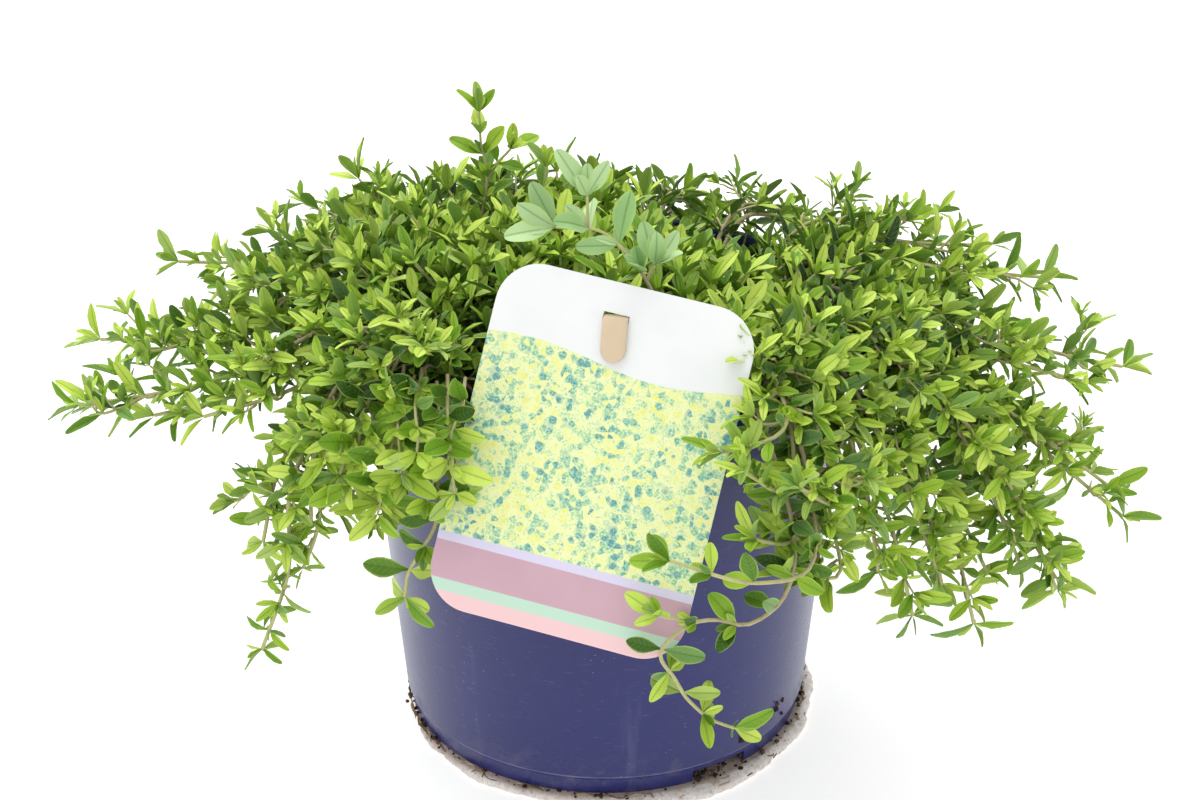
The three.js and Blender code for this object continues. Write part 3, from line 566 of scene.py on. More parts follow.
def branch(spray, points, vigour, spacing, rise, trim, habit):
    """One leafy stem with its side shoots; its habit is their reach and how steeply they turn up."""
    chance = spray.random.random
    spread, flat, steep = habit
    shoots = round(Path(points).length / spacing)
    path = spray.twig(points, **MAIN_STEM, vigour=(vigour, vigour), rise=rise, trim=trim)
    for order in range(shoots):
        share = between(SIDE_STRETCH, (order + chance()) / shoots)
        reach = between(SIDE_REACH, chance()) * (1.15 - 0.5 * share) * spread
        left = 1 if order % 2 else -1
        spray.twig(shoot_from(path, share, left, chance, reach, (flat, steep)), **SIDE_TWIG)
    return path


def laid_spray(index, through, shoots, vigour, beside, habit):
    """The twigs of one listed stem: those of the solids, and finer ones beside and between them."""
    draw = Draw(SEED + 1 + index)
    # the first draw turns the leaves of the solids
    draw()
    spray = Spray(index)
    chance = spray.random.random
    rise = END_RISE if abs(through[-1][2] - through[-2][2]) < LEVEL_DROP else 0.0
    path = branch(spray, stem_points(through), vigour, SIDE_SPACING, rise, 0.0, habit)
    pairs = max(1, round((1 - LEAFY_FROM) * path.length / NODE_SPACING))
    for order in range(shoots):
        knot = int((order + draw()) / shoots * (pairs - 0.5))
        share = between((LEAFY_FROM, 0.9), (knot + NODE_SHIFT) / pairs)
        side = 1 if order % 2 else -1
        reach = between(SHOOT_REACH, draw())
        shoot = spray.twig(shoot_from(path, share, side, draw, reach, SHOOT_RISE), **SHOOT)
        add_tufts(spray, shoot, [0.4, 0.7])
    for aside in beside:
        moved = [Vector(point) + Vector(aside) * between((0.25, 1), k / (len(through) - 1))
                 for k, point in enumerate(through)]
        branch(spray, stem_points(moved), vigour * between((0.85, 1), chance()), COMPANION_SPACING, rise, 3.0,
               habit)
    return spray


# Leaf shapes: thin closed blades one unit long, folded along the midrib and curled to the tip

def leaf_shape(name, grid, width, widest, fold, curl, twist):
    stations, upper = grid
    verts, marks = [(0, 0, 0)], [(0.0, 0.0, 0.5)]
    warp = math.log(0.5) / math.log(widest)

    def half(s):
        # a narrow stalk, an even oval and a blunt tip
        oval = max(math.sin(math.pi * s ** warp), 0) ** (1.1 - 0.6 * s)
        return 0.5 * width * max(oval, 0.12 if s < 0.3 else 0)

    def lay(s, across, drop):
        y = across * half(s)
        z = fold * abs(y) - curl * s * s + 0.02 * math.sin(9 * s + 2 * across) * abs(across) - drop
        angle = twist * s
        return (s, y * math.cos(angle) - z * math.sin(angle), y * math.sin(angle) + z * math.cos(angle))

    for s in stations:
        for across in upper:
            verts.append(lay(s, across, 0))
            marks.append((s, across, 0.5 if abs(across) == 1 else 0.0))
        verts.append(lay(s, 0, LEAF_THICKNESS))
        marks.append((s, 0.0, 1.0))
    verts.append(lay(1, 0, 0))
    marks.append((1.0, 0.0, 0.5))
    row = len(upper) + 1
    tip = len(verts) - 1
    faces = []
    top = list(range(len(upper)))
    under = [len(upper) - 1, len(upper), 0]
    for strip in (top, under):
        for a, b in zip(strip, strip[1:]):
            faces.append((0, 1 + a, 1 + b))
            for k in range(len(stations) - 1):
                low, high = 1 + k * row, 1 + (k + 1) * row
                faces.append((low + a, high + a, high + b, low + b))
            last = 1 + (len(stations) - 1) * row
            faces.append((last + a, tip, last + b))
    mesh = bpy.data.meshes.new(name)
    mesh.from_pydata(verts, [], faces)
    for i, mark_name in enumerate(("along", "across", "under")):
        add_mark(mesh, mark_name, [mark[i] for mark in marks])
    face_out(mesh)
    for edge in mesh.edges:
        one, other = (marks[i] for i in edge.vertices)
        margin = one[2] == other[2] == 0.5
        midrib = one[1] == other[1] == 0.0 and max(one[2], other[2]) < 1
        edge.use_edge_sharp = margin or midrib
    return smooth(add_object(name, mesh))


# Nodes: one method adds any node, and expressions add Math nodes

class Wire:
    """A value that runs from node to node; an expression on it adds Math nodes."""

    def __init__(self, graph, socket):
        self.graph, self.socket = graph, socket

    def output(self, name):
        """Another output of the same node."""
        return Wire(self.graph, self.socket.node.outputs[name])

    def math(self, operation, *others):
        return self.graph.math(operation, self, *others)

    def __add__(self, other):
        return self.math("ADD", other)

    def __sub__(self, other):
        return self.math("SUBTRACT", other)

    def __rsub__(self, other):
        return self.graph.math("SUBTRACT", other, self)

    def __mul__(self, other):
        return self.math("MULTIPLY", other)

    def __lt__(self, other):
        return self.math("LESS_THAN", other)

    def __gt__(self, other):
        return self.math("GREATER_THAN", other)

    __radd__, __rmul__ = __add__, __mul__

    def step(self, low, high):
        """0 below low, 1 above high, smooth between; falls where low is above high."""
        if low > high:
            return 1 - self.step(high, low)
        return self.graph.node("ShaderNodeMapRange", {"Value": self, "From Min": low, "From Max": high},
                               interpolation_type="SMOOTHSTEP")


class Graph:
    """A tree of nodes; one method adds any node to it."""

    def __init__(self, tree):
        self.tree = tree

    def node(self, kind, values=None, out=0, stops=(), **settings):
        """A node's settings and a ramp's stops come first, then the values and links of its sockets."""
        node = self.tree.nodes.new(kind)
        for key, value in settings.items():
            setattr(node, key, value)
        if stops:
            ramp = node.color_ramp
            while len(ramp.elements) < len(stops):
                ramp.elements.new(1.0)
            for element, (position, colour) in zip(ramp.elements, stops):
                element.position, element.color = position, colour
        for key, value in (values or {}).items():
            for one in value if isinstance(value, list) else [value]:
                if isinstance(one, Wire):
                    self.tree.links.new(one.socket, node.inputs[key])
                else:
                    node.inputs[key].default_value = one
        return Wire(self, node.outputs[out])

    def math(self, operation, *values):
        return self.node("ShaderNodeMath", dict(enumerate(values)), operation=operation)


# Geometry Nodes: leaves in opposite pairs on twigs

class Tree(Graph):
    """Geometry Nodes with named inputs, which are applied to an object."""

    def __init__(self, name, **inputs):
        super().__init__(bpy.data.node_groups.new(name, "GeometryNodeTree"))
        kinds = {"Geometry": "Geometry", **inputs}
        for label, kind in kinds.items():
            self.tree.interface.new_socket(label, in_out="INPUT", socket_type="NodeSocket" + kind)
        self.tree.interface.new_socket("Geometry", in_out="OUTPUT", socket_type="NodeSocketGeometry")
        sockets = self.tree.nodes.new("NodeGroupInput").outputs
        self.inputs = {label: Wire(self, sockets[label]) for label in kinds}

    def read(self, name, kind="FLOAT"):
        return self.node("GeometryNodeInputNamedAttribute", {"Name": name}, data_type=kind)

    def keep(self, geometry, name, value, domain="POINT", kind="FLOAT"):
        values = {"Geometry": geometry, "Name": name, "Value": value}
        return self.node("GeometryNodeStoreNamedAttribute", values, domain=domain, data_type=kind)

    def chance(self, low, high, seed, kind="FLOAT"):
        """A random value; the node has two sockets and an output of their own for each kind of value."""
        first = {"FLOAT_VECTOR": 0, "FLOAT": 2, "INT": 4}[kind]
        return self.node("FunctionNodeRandomValue", {first: low, first + 1: high, 8: seed}, out=first // 2,
                         data_type=kind)

    def spin(self, rotation, axis, angle):
        """A rotation turned further about one of its own axes."""
        angles = self.node("ShaderNodeCombineXYZ", {axis: angle})
        further = self.node("FunctionNodeEulerToRotation", {"Euler": angles})
        return self.node("FunctionNodeRotateRotation", {"Rotation": rotation, "Rotate By": further},
                         rotation_space="LOCAL")

    def align(self, rotation, share, way, **axes):
        return self.node("FunctionNodeAlignRotationToVector",
                         {"Rotation": rotation, "Factor": share, "Vector": way}, **axes)

    def scatter(self, points, shapes, pick, rotation, size, tone_seed, material):
        """At each point one of the shapes, picked by its number, with a tone of its own; made real."""
        copies = [self.node("GeometryNodeObjectInfo", {"Object": shape, "As Instance": True}, out="Geometry")
                  for shape in shapes]
        choice = self.node("GeometryNodeGeometryToInstance", {"Geometry": copies})
        placed = self.node("GeometryNodeInstanceOnPoints",
                           {"Points": points, "Instance": choice, "Pick Instance": True,
                            "Instance Index": pick, "Rotation": rotation, "Scale": size})
        placed = self.keep(placed, "tone", self.chance(0.0, 1.0, tone_seed), domain="INSTANCE")
        placed = self.node("GeometryNodeRealizeInstances", {"Geometry": placed})
        return self.node("GeometryNodeSetMaterial", {"Geometry": placed, "Material": material})

    def close(self, geometry):
        output = self.tree.nodes.new("NodeGroupOutput")
        self.tree.links.new(geometry.socket, output.inputs[0])

    def apply(self, obj, name, **values):
        modifier = obj.modifiers.new("growth", "NODES")
        modifier.node_group = self.tree
        for socket in self.tree.interface.items_tree:
            if socket.in_out == "INPUT" and socket.name in values:
                modifier[socket.identifier] = values[socket.name]
        return evaluated(obj, name)


def leafy_tree(name, leaves):
    """Twigs with bark and with leaves in opposite pairs, each pair a quarter turn from the last."""
    tree = Tree(name, Length="Float", Seed="Int", Light="Float", Face="Vector", Bark="Material",
                Leaf="Material")
    source, seed = tree.inputs, tree.inputs["Seed"]
    curve = tree.node("GeometryNodeMeshToCurve", {"Mesh": source["Geometry"]})
    ring = tree.node("GeometryNodeCurvePrimitiveCircle", {"Resolution": 6, "Radius": 1.0}, mode="RADIUS")
    bark = tree.node("GeometryNodeCurveToMesh", {"Curve": curve, "Profile Curve": ring,
                                                "Scale": tree.read("thick"), "Fill Caps": True})
    bark = tree.node("GeometryNodeSetMaterial", {"Geometry": bark, "Material": source["Bark"]})
    knots = tree.node("GeometryNodeResampleCurve", {"Curve": curve, "Length": tree.read("gap")},
                      mode="LENGTH")
    at_end = tree.node("GeometryNodeCurveEndpointSelection", {"Start Size": 0})
    knots = tree.keep(knots, "tip", at_end, kind="BOOLEAN")
    knots = tree.keep(knots, "parity", tree.node("GeometryNodeInputIndex").math("MODULO", 2.0))
    points = tree.node("GeometryNodeCurveToPoints", {"Curve": knots}, mode="EVALUATED")
    points = tree.keep(points, "heading", points.output("Rotation"), kind="QUATERNION")
    bare = tree.read("leafy") < 0.5
    points = tree.node("GeometryNodeDeleteGeometry", {"Geometry": points, "Selection": bare}, domain="POINT")
    tip = tree.read("tip", "BOOLEAN")
    # a node bears two leaves and up to four small ones in their axils, a tip three pairs
    axils = tree.chance(0, 2, seed, "INT").math("MAXIMUM", tip * 2)
    points = tree.node("GeometryNodeDuplicateElements", {"Geometry": points, "Amount": axils * 2 + 2},
                       domain="POINT")
    points = tree.keep(points, "order", points.output("Duplicate Index"))
    order = tree.read("order")
    inner = order > 1.5
    rank = (order * 0.5).math("FLOOR")
    inner_tip = inner * tip
    inner_axil = inner - inner_tip
    side = order.math("MODULO", 2.0) * math.pi
    quarter = inner_tip * rank + tree.read("parity")
    flank = inner_axil * (AXIL_ASIDE[0] - rank * AXIL_ASIDE[1])
    stray = tree.chance(-LEAF_STRAY, LEAF_STRAY, seed)
    around = quarter * (math.pi / 2) + (side + flank) + (stray + tree.read("turn"))
    lean = tip * TIP_LEAN + tree.chance(*LEAF_LEAN, seed + 1)
    lean = inner_axil * AXIL_LEAN + (inner_tip * (rank * FURTHER_LEAN) + lean)
    rotation = tree.spin(tree.read("heading", "QUATERNION"), "Z", around)
    rotation = tree.spin(rotation, "Y", lean * -1)
    rotation = tree.align(rotation, LEAF_RISE, (0, 0, 1), axis="X")
    rotation = tree.align(rotation, source["Light"], source["Face"], axis="Z", pivot_axis="X")
    rotation = tree.spin(rotation, "X", tree.chance(-LEAF_ROLL, LEAF_ROLL, seed + 4))
    size = tree.read("vigour") * source["Length"] * tree.chance(*LEAF_SIZES, seed + 2)
    size = size * (1 - inner_axil * AXIL_LOSS) * (1 - inner_tip * (rank * TIP_LOSS))
    points = tree.keep(points, "youth", inner * 0.1 + tree.read("youth"))
    last = len(leaves) - 1
    large, little = tree.chance(0, last - 2, seed, "INT"), tree.chance(last - 1, last, seed, "INT")
    small = size < SMALL_LENGTH * MM
    pick = tree.node("GeometryNodeSwitch", {"Switch": small, "False": large, "True": little},
                     input_type="INT")
    # the last shape that is linked comes first
    foliage = tree.scatter(points, leaves[::-1], pick, rotation, size, seed + 3, source["Leaf"])
    tree.close(tree.node("GeometryNodeJoinGeometry", {"Geometry": [foliage, bark]}))
    return tree


def grow(spray, name, tree, seed, leaf, bark, light=0.5, face=(0, 0, 1)):
    """The bark and leaves of a spray as one mesh; light is how far the leaves turn towards face."""
    mesh = bpy.data.meshes.new(name)
    mesh.from_pydata([v * MM for v in spray.verts], spray.edges, [])
    for mark, values in spray.marks.items():
        scale = MM if mark in ("thick", "gap") else 1
        add_mark(mesh, mark, [value * scale for value in values])
    twigs = add_object(name + "_twigs", mesh)
    piece = tree.apply(twigs, name, Length=LEAF_LENGTH * MM, Seed=seed, Light=light, Face=face, Bark=bark,
                       Leaf=leaf)
    return smooth(piece)


# Pot: a turned wall with a rolled lip, a stepped foot and drain slots

def turned(name, profile, sides, edge=None):
    """A closed body turned about the z axis from (radius, height) points that run from axis to axis.

    Where edge is given, each radius is a share of edge(angle)."""
    verts, faces, rows = [], [], []
    for r, z in profile:
        row = []
        for i in range(sides if r > 0 else 1):
            angle = i * TURN / sides
            row.append(len(verts))
            verts.append(on_circle(r * edge(angle) if edge else r, angle, z))
        rows.append(row)
    for low, high in zip(rows, rows[1:]):
        for i in range(sides):
            a, b = low[i % len(low)], low[(i + 1) % len(low)]
            c, d = high[(i + 1) % len(high)], high[i % len(high)]
            faces.append(tuple(dict.fromkeys((a, b, c, d))))
    return to_object(name, verts, faces)


def box(name, size, middle, turn):
    x, y, z = (value / 2 for value in size)
    corners = [(a * x, b * y, c * z) for a in (-1, 1) for b in (-1, 1) for c in (-1, 1)]
    faces = [(0, 1, 3, 2), (4, 6, 7, 5), (0, 4, 5, 1), (2, 3, 7, 6), (0, 2, 6, 4), (1, 5, 7, 3)]
    spin = Matrix.Rotation(turn, 3, "Z")
    return to_object(name, [spin @ (Vector(corner) + Vector(middle)) for corner in corners], faces)


def make_pot():
    lip_low = POT_HEIGHT - LIP_HEIGHT
    slope = (WALL_TOP_RADIUS - WALL_FOOT_RADIUS) / (POT_HEIGHT - FOOT_STEP)

    def inner(z):
        return WALL_FOOT_RADIUS - WALL + slope * (z - FOOT_STEP)

    profile = [
        (0, FLOOR_LOW), (FOOT_RADIUS - 4.6, FLOOR_LOW), (FOOT_RADIUS - 3.4, 0), (FOOT_RADIUS, 0),
        (FOOT_RADIUS + 0.4, FOOT_STEP - 1), (WALL_FOOT_RADIUS, FOOT_STEP + 0.3),
        (WALL_TOP_RADIUS - 0.1, lip_low - 0.4), (LIP_RADIUS - 0.5, lip_low + 1), (LIP_RADIUS, lip_low + 3),
        (LIP_RADIUS, POT_HEIGHT - 1.6), (LIP_RADIUS - 1.4, POT_HEIGHT), (WALL_TOP_RADIUS - 0.9, POT_HEIGHT),
        (inner(POT_HEIGHT - 2), POT_HEIGHT - 2), (inner(FOOT_STEP + 1.5), FOOT_STEP + 1.5),
        (inner(FOOT_STEP) - 1.6, FLOOR_TOP), (0, FLOOR_TOP),
    ]
    pot = turned("pot_wall", [(r, z + POT_BASE) for r, z in profile], 144)
    cutters = []
    for i in range(SLOT_COUNT):
        turn = SLOT_ANGLE + i * TURN / SLOT_COUNT
        middle = (FOOT_RADIUS, 0, POT_BASE + SLOT_SIZE[2] / 2 - 1)
        cutters.append(box("drain_cutter", SLOT_SIZE, middle, turn))
    for cutter in cutters:
        modify(pot, "BOOLEAN", object=cutter, solver="EXACT")
    modify(pot, "BEVEL", width=0.45 * MM, segments=3, limit_method="ANGLE", angle_limit=math.radians(25))
    pot = evaluated(pot, "pot_wall")
    for cutter in cutters:
        bpy.data.objects.remove(cutter)
    return place(smooth(pot, math.radians(40)), "pot_plastic", "pot")


# Root mat under the foot, with an uneven edge, and the roots and crumbs that lie on it

def mat_edge(angle):
    edge = MAT_RADIUS + MAT_SPREAD * math.cos(angle - MAT_SPREAD_ANGLE) + 0.7 * math.sin(5 * angle + 1)
    edge += 0.5 * math.sin(11 * angle) + 0.3 * math.sin(17 * angle + 2)
    return edge + 0.35 * math.sin(41 * angle) * math.sin(7 * angle) + 0.2 * math.sin(97 * angle + 1)


def make_mat():
    insets = [(1.0, 0), (0.2, 0.4), (0, MAT_EDGE), (0.7, 2.2), (2.4, MAT_THICKNESS)]
    profile = [(0, 0)] + [(1 - inset / MAT_RADIUS, z) for inset, z in insets] + [(0, MAT_THICKNESS)]
    mat = turned("root_mat_body", profile, 220, mat_edge)
    return place(smooth(mat, math.radians(60)), "root_mat", "root_mat")


def root_spray():
    """Roots that lie along the edge of the mat, on top of it and down its side."""
    spray = Spray(ROOT_SEED)
    chance = spray.random.random
    for _ in range(ROOT_COUNT):
        angle = TURN * chance()
        reach = mat_edge(angle) - 1.2
        points = []
        for _ in range(4):
            angle += between((-0.07, 0.12), chance())
            edge = mat_edge(angle)
            radius = min(reach + between((-1.5, 0.6), chance()), edge + 0.5)
            height = MAT_THICKNESS + 0.35 if radius < edge - 2.4 else between((0.5, 2.4), chance())
            points.append(Vector(on_circle(max(radius, FOOT_RADIUS + 0.9), angle, height)))
        spray.twig(points, (between(ROOT_RADII, chance()), ROOT_TIP_RADIUS), **ROOT)
    return spray


def crumb_shape(name, seed):
    draw = random.Random(seed)
    work = bmesh.new()
    bmesh.ops.create_icosphere(work, subdivisions=1, radius=0.5)
    for vert in work.verts:
        vert.co *= draw.uniform(0.7, 1.15)
        vert.co.z *= 0.8
    mesh = bpy.data.meshes.new(name)
    work.to_mesh(mesh)
    work.free()
    return add_object(name, mesh)


def crumb_tree(shapes):
    """A crumb at each point of a mesh, turned at random; most are small."""
    tree = Tree("scattered_crumbs", Size="Float", Seed="Int", Finish="Material")
    source, seed = tree.inputs, tree.inputs["Seed"]
    turn = tree.chance((0.0, 0.0, 0.0), (TURN, TURN, TURN), seed, "FLOAT_VECTOR")
    size = source["Size"] * (tree.chance(0.0, 1.0, seed).math("POWER", 2.5) + 0.3)
    pick = tree.chance(0, len(shapes) - 1, seed, "INT")
    points = tree.node("GeometryNodeMeshToPoints", {"Mesh": source["Geometry"]})
    tree.close(tree.scatter(points, shapes, pick, turn, size, seed + 5, source["Finish"]))
    return tree


def compost_height(x, y):
    wave = 0.6 * math.sin(0.13 * x + 1) * math.cos(0.11 * y) + 0.4 * math.sin(0.23 * y - 0.17 * x)
    return COMPOST_TOP + COMPOST_RELIEF * wave


def compost_crumb_spots():
    draw = random.Random(CRUMB_SEED)
    spots = []
    for i in range(CRUMB_COUNT):
        x, y, _ = on_circle(CRUMB_REACH * math.sqrt((i + 0.5) / CRUMB_COUNT), i * GOLDEN_ANGLE, 0)
        x, y = x + draw.uniform(-1, 1), y + draw.uniform(-1, 1)
        spots.append((x, y, compost_height(x, y)))
    return spots


def foot_crumb_spots():
    """Crumbs in the mouths of the drain slots, on the mat round the foot, and stuck low on the wall."""
    draw = random.Random(FOOT_CRUMB_SEED)
    spots = []
    for i in range(SLOT_COUNT):
        for _ in range(SLOT_CRUMBS):
            angle = SLOT_ANGLE + i * TURN / SLOT_COUNT + draw.uniform(-0.15, 0.15)
            reach = FOOT_RADIUS + draw.uniform(-2.0, 1.2)
            spots.append(on_circle(reach, angle, MAT_THICKNESS + draw.uniform(0.2, 2.8)))
    for _ in range(RING_CRUMBS):
        angle = draw.uniform(0, TURN)
        spots.append(on_circle(FOOT_RADIUS + abs(draw.gauss(0.5, 0.9)), angle, MAT_THICKNESS + 0.1))
    for _ in range(WALL_CRUMBS):
        angle, height = draw.uniform(*WALL_CRUMB_ANGLES), draw.uniform(*WALL_CRUMB_HEIGHTS)
        reach = WALL_FOOT_RADIUS + (height - FOOT_STEP) * WALL_LEAN - 0.1
        spots.append(on_circle(reach, angle, POT_BASE + height))
    return spots


def make_crumbs():
    shapes = [crumb_shape(name, seed) for seed, name in enumerate(CRUMB_SHAPES, 1)]
    tree = crumb_tree(shapes)
    finish = compost_finish("compost_crumb")
    kinds = (("compost_crumbs", 3, CRUMB_SIZE, compost_crumb_spots()),
             ("foot_crumbs", 4, FOOT_CRUMB_SIZE, foot_crumb_spots()))
    for name, seed, size, spots in kinds:
        points = to_object(name + "_spots", spots, [])
        place(smooth(tree.apply(points, name, Size=size * MM, Seed=seed, Finish=finish)), "compost")
    for shape in shapes:
        bpy.data.objects.remove(shape)


# Label and stake

def label_frame():
    """The frame that label and stake share, with its origin at the middle of the slot's front edge.

    x runs across the card, y up its slope, and z out of its printed face."""
    normal = Vector((math.sin(LABEL_YAW) * math.cos(LABEL_TILT), -math.cos(LABEL_YAW) * math.cos(LABEL_TILT),
                     math.sin(LABEL_TILT)))
    lean = LIP_RADIUS * math.cos(LABEL_TILT) + (POT_TOP - 1.6) * math.sin(LABEL_TILT) + GAP + LABEL_THICKNESS
    hang_y = (lean - normal.x * LABEL_HANG[0] - normal.z * LABEL_HANG[1]) / normal.y
    turn = Matrix.Rotation(LABEL_YAW, 4, "Z") @ Matrix.Rotation(math.pi / 2 - LABEL_TILT, 4, "X")
    return Matrix.Translation((LABEL_HANG[0], hang_y, LABEL_HANG[1])) @ turn


def make_label(frame_matrix):
    half_w, half_h = LABEL_SIZE[0] / 2, LABEL_SIZE[1] / 2
    slot_x = [LABEL_SLOT[0] - LABEL_SLOT_SIZE[0] / 2, LABEL_SLOT[0] + LABEL_SLOT_SIZE[0] / 2]
    slot_y = [LABEL_SLOT[1] - LABEL_SLOT_SIZE[1] / 2, LABEL_SLOT[1] + LABEL_SLOT_SIZE[1] / 2]
    straight = half_w - LABEL_CORNER
    inside = [-straight, -16, slot_x[0], LABEL_SLOT[0], slot_x[1], 9, 16, straight]
    steps = LABEL_STEPS["corner"]
    corner = [LABEL_CORNER * math.sin(k * math.pi / (2 * steps)) for k in range(steps + 1)]
    flat = half_h - LABEL_CORNER
    steps = LABEL_STEPS["half_flat"]
    rows = [-flat - c for c in reversed(corner)] + [-flat + k * flat / steps for k in range(1, 2 * steps)]
    rows += [flat + c for c in corner]
    rows = sorted(set(rows) | set(slot_y))
    verts, uv = [], []
    for y in rows:
        rise = max(0, abs(y) - flat)
        extent = straight + math.sqrt(max(LABEL_CORNER ** 2 - rise ** 2, 0))
        steps = LABEL_STEPS["edge"]
        outer = [between((straight, extent), k / steps) for k in range(1, steps + 1)]
        for x in [-x for x in reversed(outer)] + inside + outer:
            bow = LABEL_BOW * (abs(x) / half_w) ** 2 * (0.5 - y / LABEL_SIZE[1])
            verts.append((x, y, bow - LABEL_THICKNESS))
            uv.append(((x + half_w) / UV_SPAN, (y + half_h) / UV_SPAN))
    count = len(inside) + 2 * LABEL_STEPS["edge"]
    faces = []
    for r in range(len(rows) - 1):
        for c in range(count - 1):
            x = verts[r * count + c][0]
            in_slot_row = slot_y[0] - 0.01 < rows[r] < slot_y[1] - 0.01
            if not (in_slot_row and slot_x[0] - 0.01 < x < slot_x[1] - 0.01):
                a = r * count + c
                faces.append((a, a + 1, a + count + 1, a + count))
    label = to_object("label_card", verts, faces, uv)
    modify(label, "WELD", merge_threshold=0.01 * MM)
    modify(label, "SOLIDIFY", thickness=LABEL_THICKNESS * MM, offset=1)
    modify(label, "BEVEL", width=0.2 * MM, segments=2, limit_method="ANGLE", angle_limit=math.radians(50))
    label = evaluated(label, "label_card")
    shift = Matrix.Translation((-LABEL_SLOT[0] * MM, -LABEL_SLOT[1] * MM, 0))
    metres = frame_matrix.copy()
    metres.translation = frame_matrix.translation * MM
    label.data.transform(metres @ Matrix.Rotation(LABEL_ROLL, 4, "Z") @ shift)
    return place(smooth(label, math.radians(35)), "label_card", "plant_label")


def make_stake(frame_matrix):
    half = STAKE_THICKNESS / 2
    face = half + GAP
    crest = LABEL_SLOT_SIZE[1] / 2 - GAP - half
    drop = LABEL_HANG[1] - COMPOST_TOP + STAKE_DEPTH
    route = [(face, -STAKE_TONGUE), (face, -6), (face, -1.5), (face - 0.35, crest - 0.6), (-0.3, crest),
             (-1.6, crest - 0.1), (-3.4, -1.4)]
    route += [(-3.4 - share * drop * math.sin(LABEL_TILT), -1.4 - share * drop * math.cos(LABEL_TILT))
              for share in (0.25, 0.5, 0.75, 1)]
    path = Path([Vector((0, up, out)) for out, up in route], 60)
    section = [(-1, -0.7), (-0.93, -1), (-0.5, -1), (0, -1), (0.5, -1), (0.93, -1), (1, -0.7)]
    section += [(-a, -b) for a, b in section]
    radius = STAKE_WIDTH / 2
    verts, faces = [], []
    shares = [0.5 * (k / 10) ** 2 * 2 * radius / path.length for k in range(1, 11)]
    shares += [between((shares[-1], 1), k / 40) for k in range(1, 41)]
    for share in shares:
        centre, along = path.at(share), path.along(share)
        from_end = share * path.length
        width = math.sqrt(max(radius ** 2 - max(radius - from_end, 0) ** 2, 0.01))
        out = along.cross(Vector((1, 0, 0))).normalized()
        verts += [centre + Vector((a * width, 0, 0)) + out * b * half for a, b in section]
    count = len(section)
    for k in range(len(shares) - 1):
        for i in range(count):
            j = (i + 1) % count
            faces.append((k * count + i, k * count + j, (k + 1) * count + j, (k + 1) * count + i))
    faces.append(tuple(range(count)))
    faces.append(tuple(range((len(shares) - 1) * count, len(shares) * count)))
    stake = to_object("stake_strip", [frame_matrix @ vert for vert in verts], faces)
    face_out(stake.data)
    return place(smooth(stake, math.radians(40)), "stake_plastic", "label_stake")


# Finishes

def rgb(red, green, blue):
    """A colour as a shader wants it, from the 0 to 255 values that an eye reads on a screen."""
    shares = (value / 255 for value in (red, green, blue))
    return (*(c / 12.92 if c <= 0.04045 else ((c + 0.055) / 1.055) ** 2.4 for c in shares), 1.0)


class Finish(Graph):
    """A material: values that are the same all over are given with its name, and nodes make the others."""

    def __init__(self, name, **constants):
        self.material = bpy.data.materials.new(name)
        self.material.use_nodes = True
        super().__init__(self.material.node_tree)
        self.surface = self.tree.nodes["Principled BSDF"]
        for label, value in constants.items():
            self.surface.inputs[label.replace("_", " ")].default_value = value

    def set(self, **sockets):
        for label, wire in sockets.items():
            self.tree.links.new(wire.socket, self.surface.inputs[label.replace("_", " ")])
        return self.material

    def place(self):
        return self.node("ShaderNodeTexCoord", out="Object")

    def axes(self, where=None):
        split = self.node("ShaderNodeSeparateXYZ", {0: where or self.place()})
        return [split.output(axis) for axis in "XYZ"]

    def mark(self, name):
        return self.node("ShaderNodeAttribute", out="Fac", attribute_name=name)

    def mix(self, share, one, other):
        """Two colours mixed; the node's sockets 6 and 7 and its output 2 are the ones for colours."""
        return self.node("ShaderNodeMix", {0: share, 6: one, 7: other}, out=2, data_type="RGBA")

    def noise(self, scale, detail=3.0, rough=0.55, where=None, distortion=0.0):
        return self.node("ShaderNodeTexNoise", {"Vector": where or self.place(), "Scale": scale,
                                                "Detail": detail, "Roughness": rough,
                                                "Distortion": distortion})

    def cells(self, scale, out="Distance", where=None):
        return self.node("ShaderNodeTexVoronoi", {"Vector": where or self.place(), "Scale": scale}, out=out)

    def stretch(self, x, y, z):
        return self.node("ShaderNodeMapping", {"Vector": self.place(), "Scale": (x, y, z)})

    def ramp(self, value, *stops):
        return self.node("ShaderNodeValToRGB", {0: value}, stops=stops)

    def bump(self, height, depth, strength):
        return self.node("ShaderNodeBump", {"Height": height, "Distance": depth * MM, "Strength": strength})


# Leaf colours from old leaves to young ones. The near-black green at the old end is also painted shade, since
# the old leaves lie deep inside the plant.
LIME_TO_GREEN = [(0.0, rgb(18, 46, 8)), (0.3, rgb(57, 100, 18)), (0.6, rgb(110, 154, 29)),
                 (0.85, rgb(164, 197, 56)), (1.0, rgb(196, 220, 92))]
SAGE = [(0.0, rgb(130, 172, 104)), (0.5, rgb(154, 194, 126)), (1.0, rgb(180, 210, 152))]


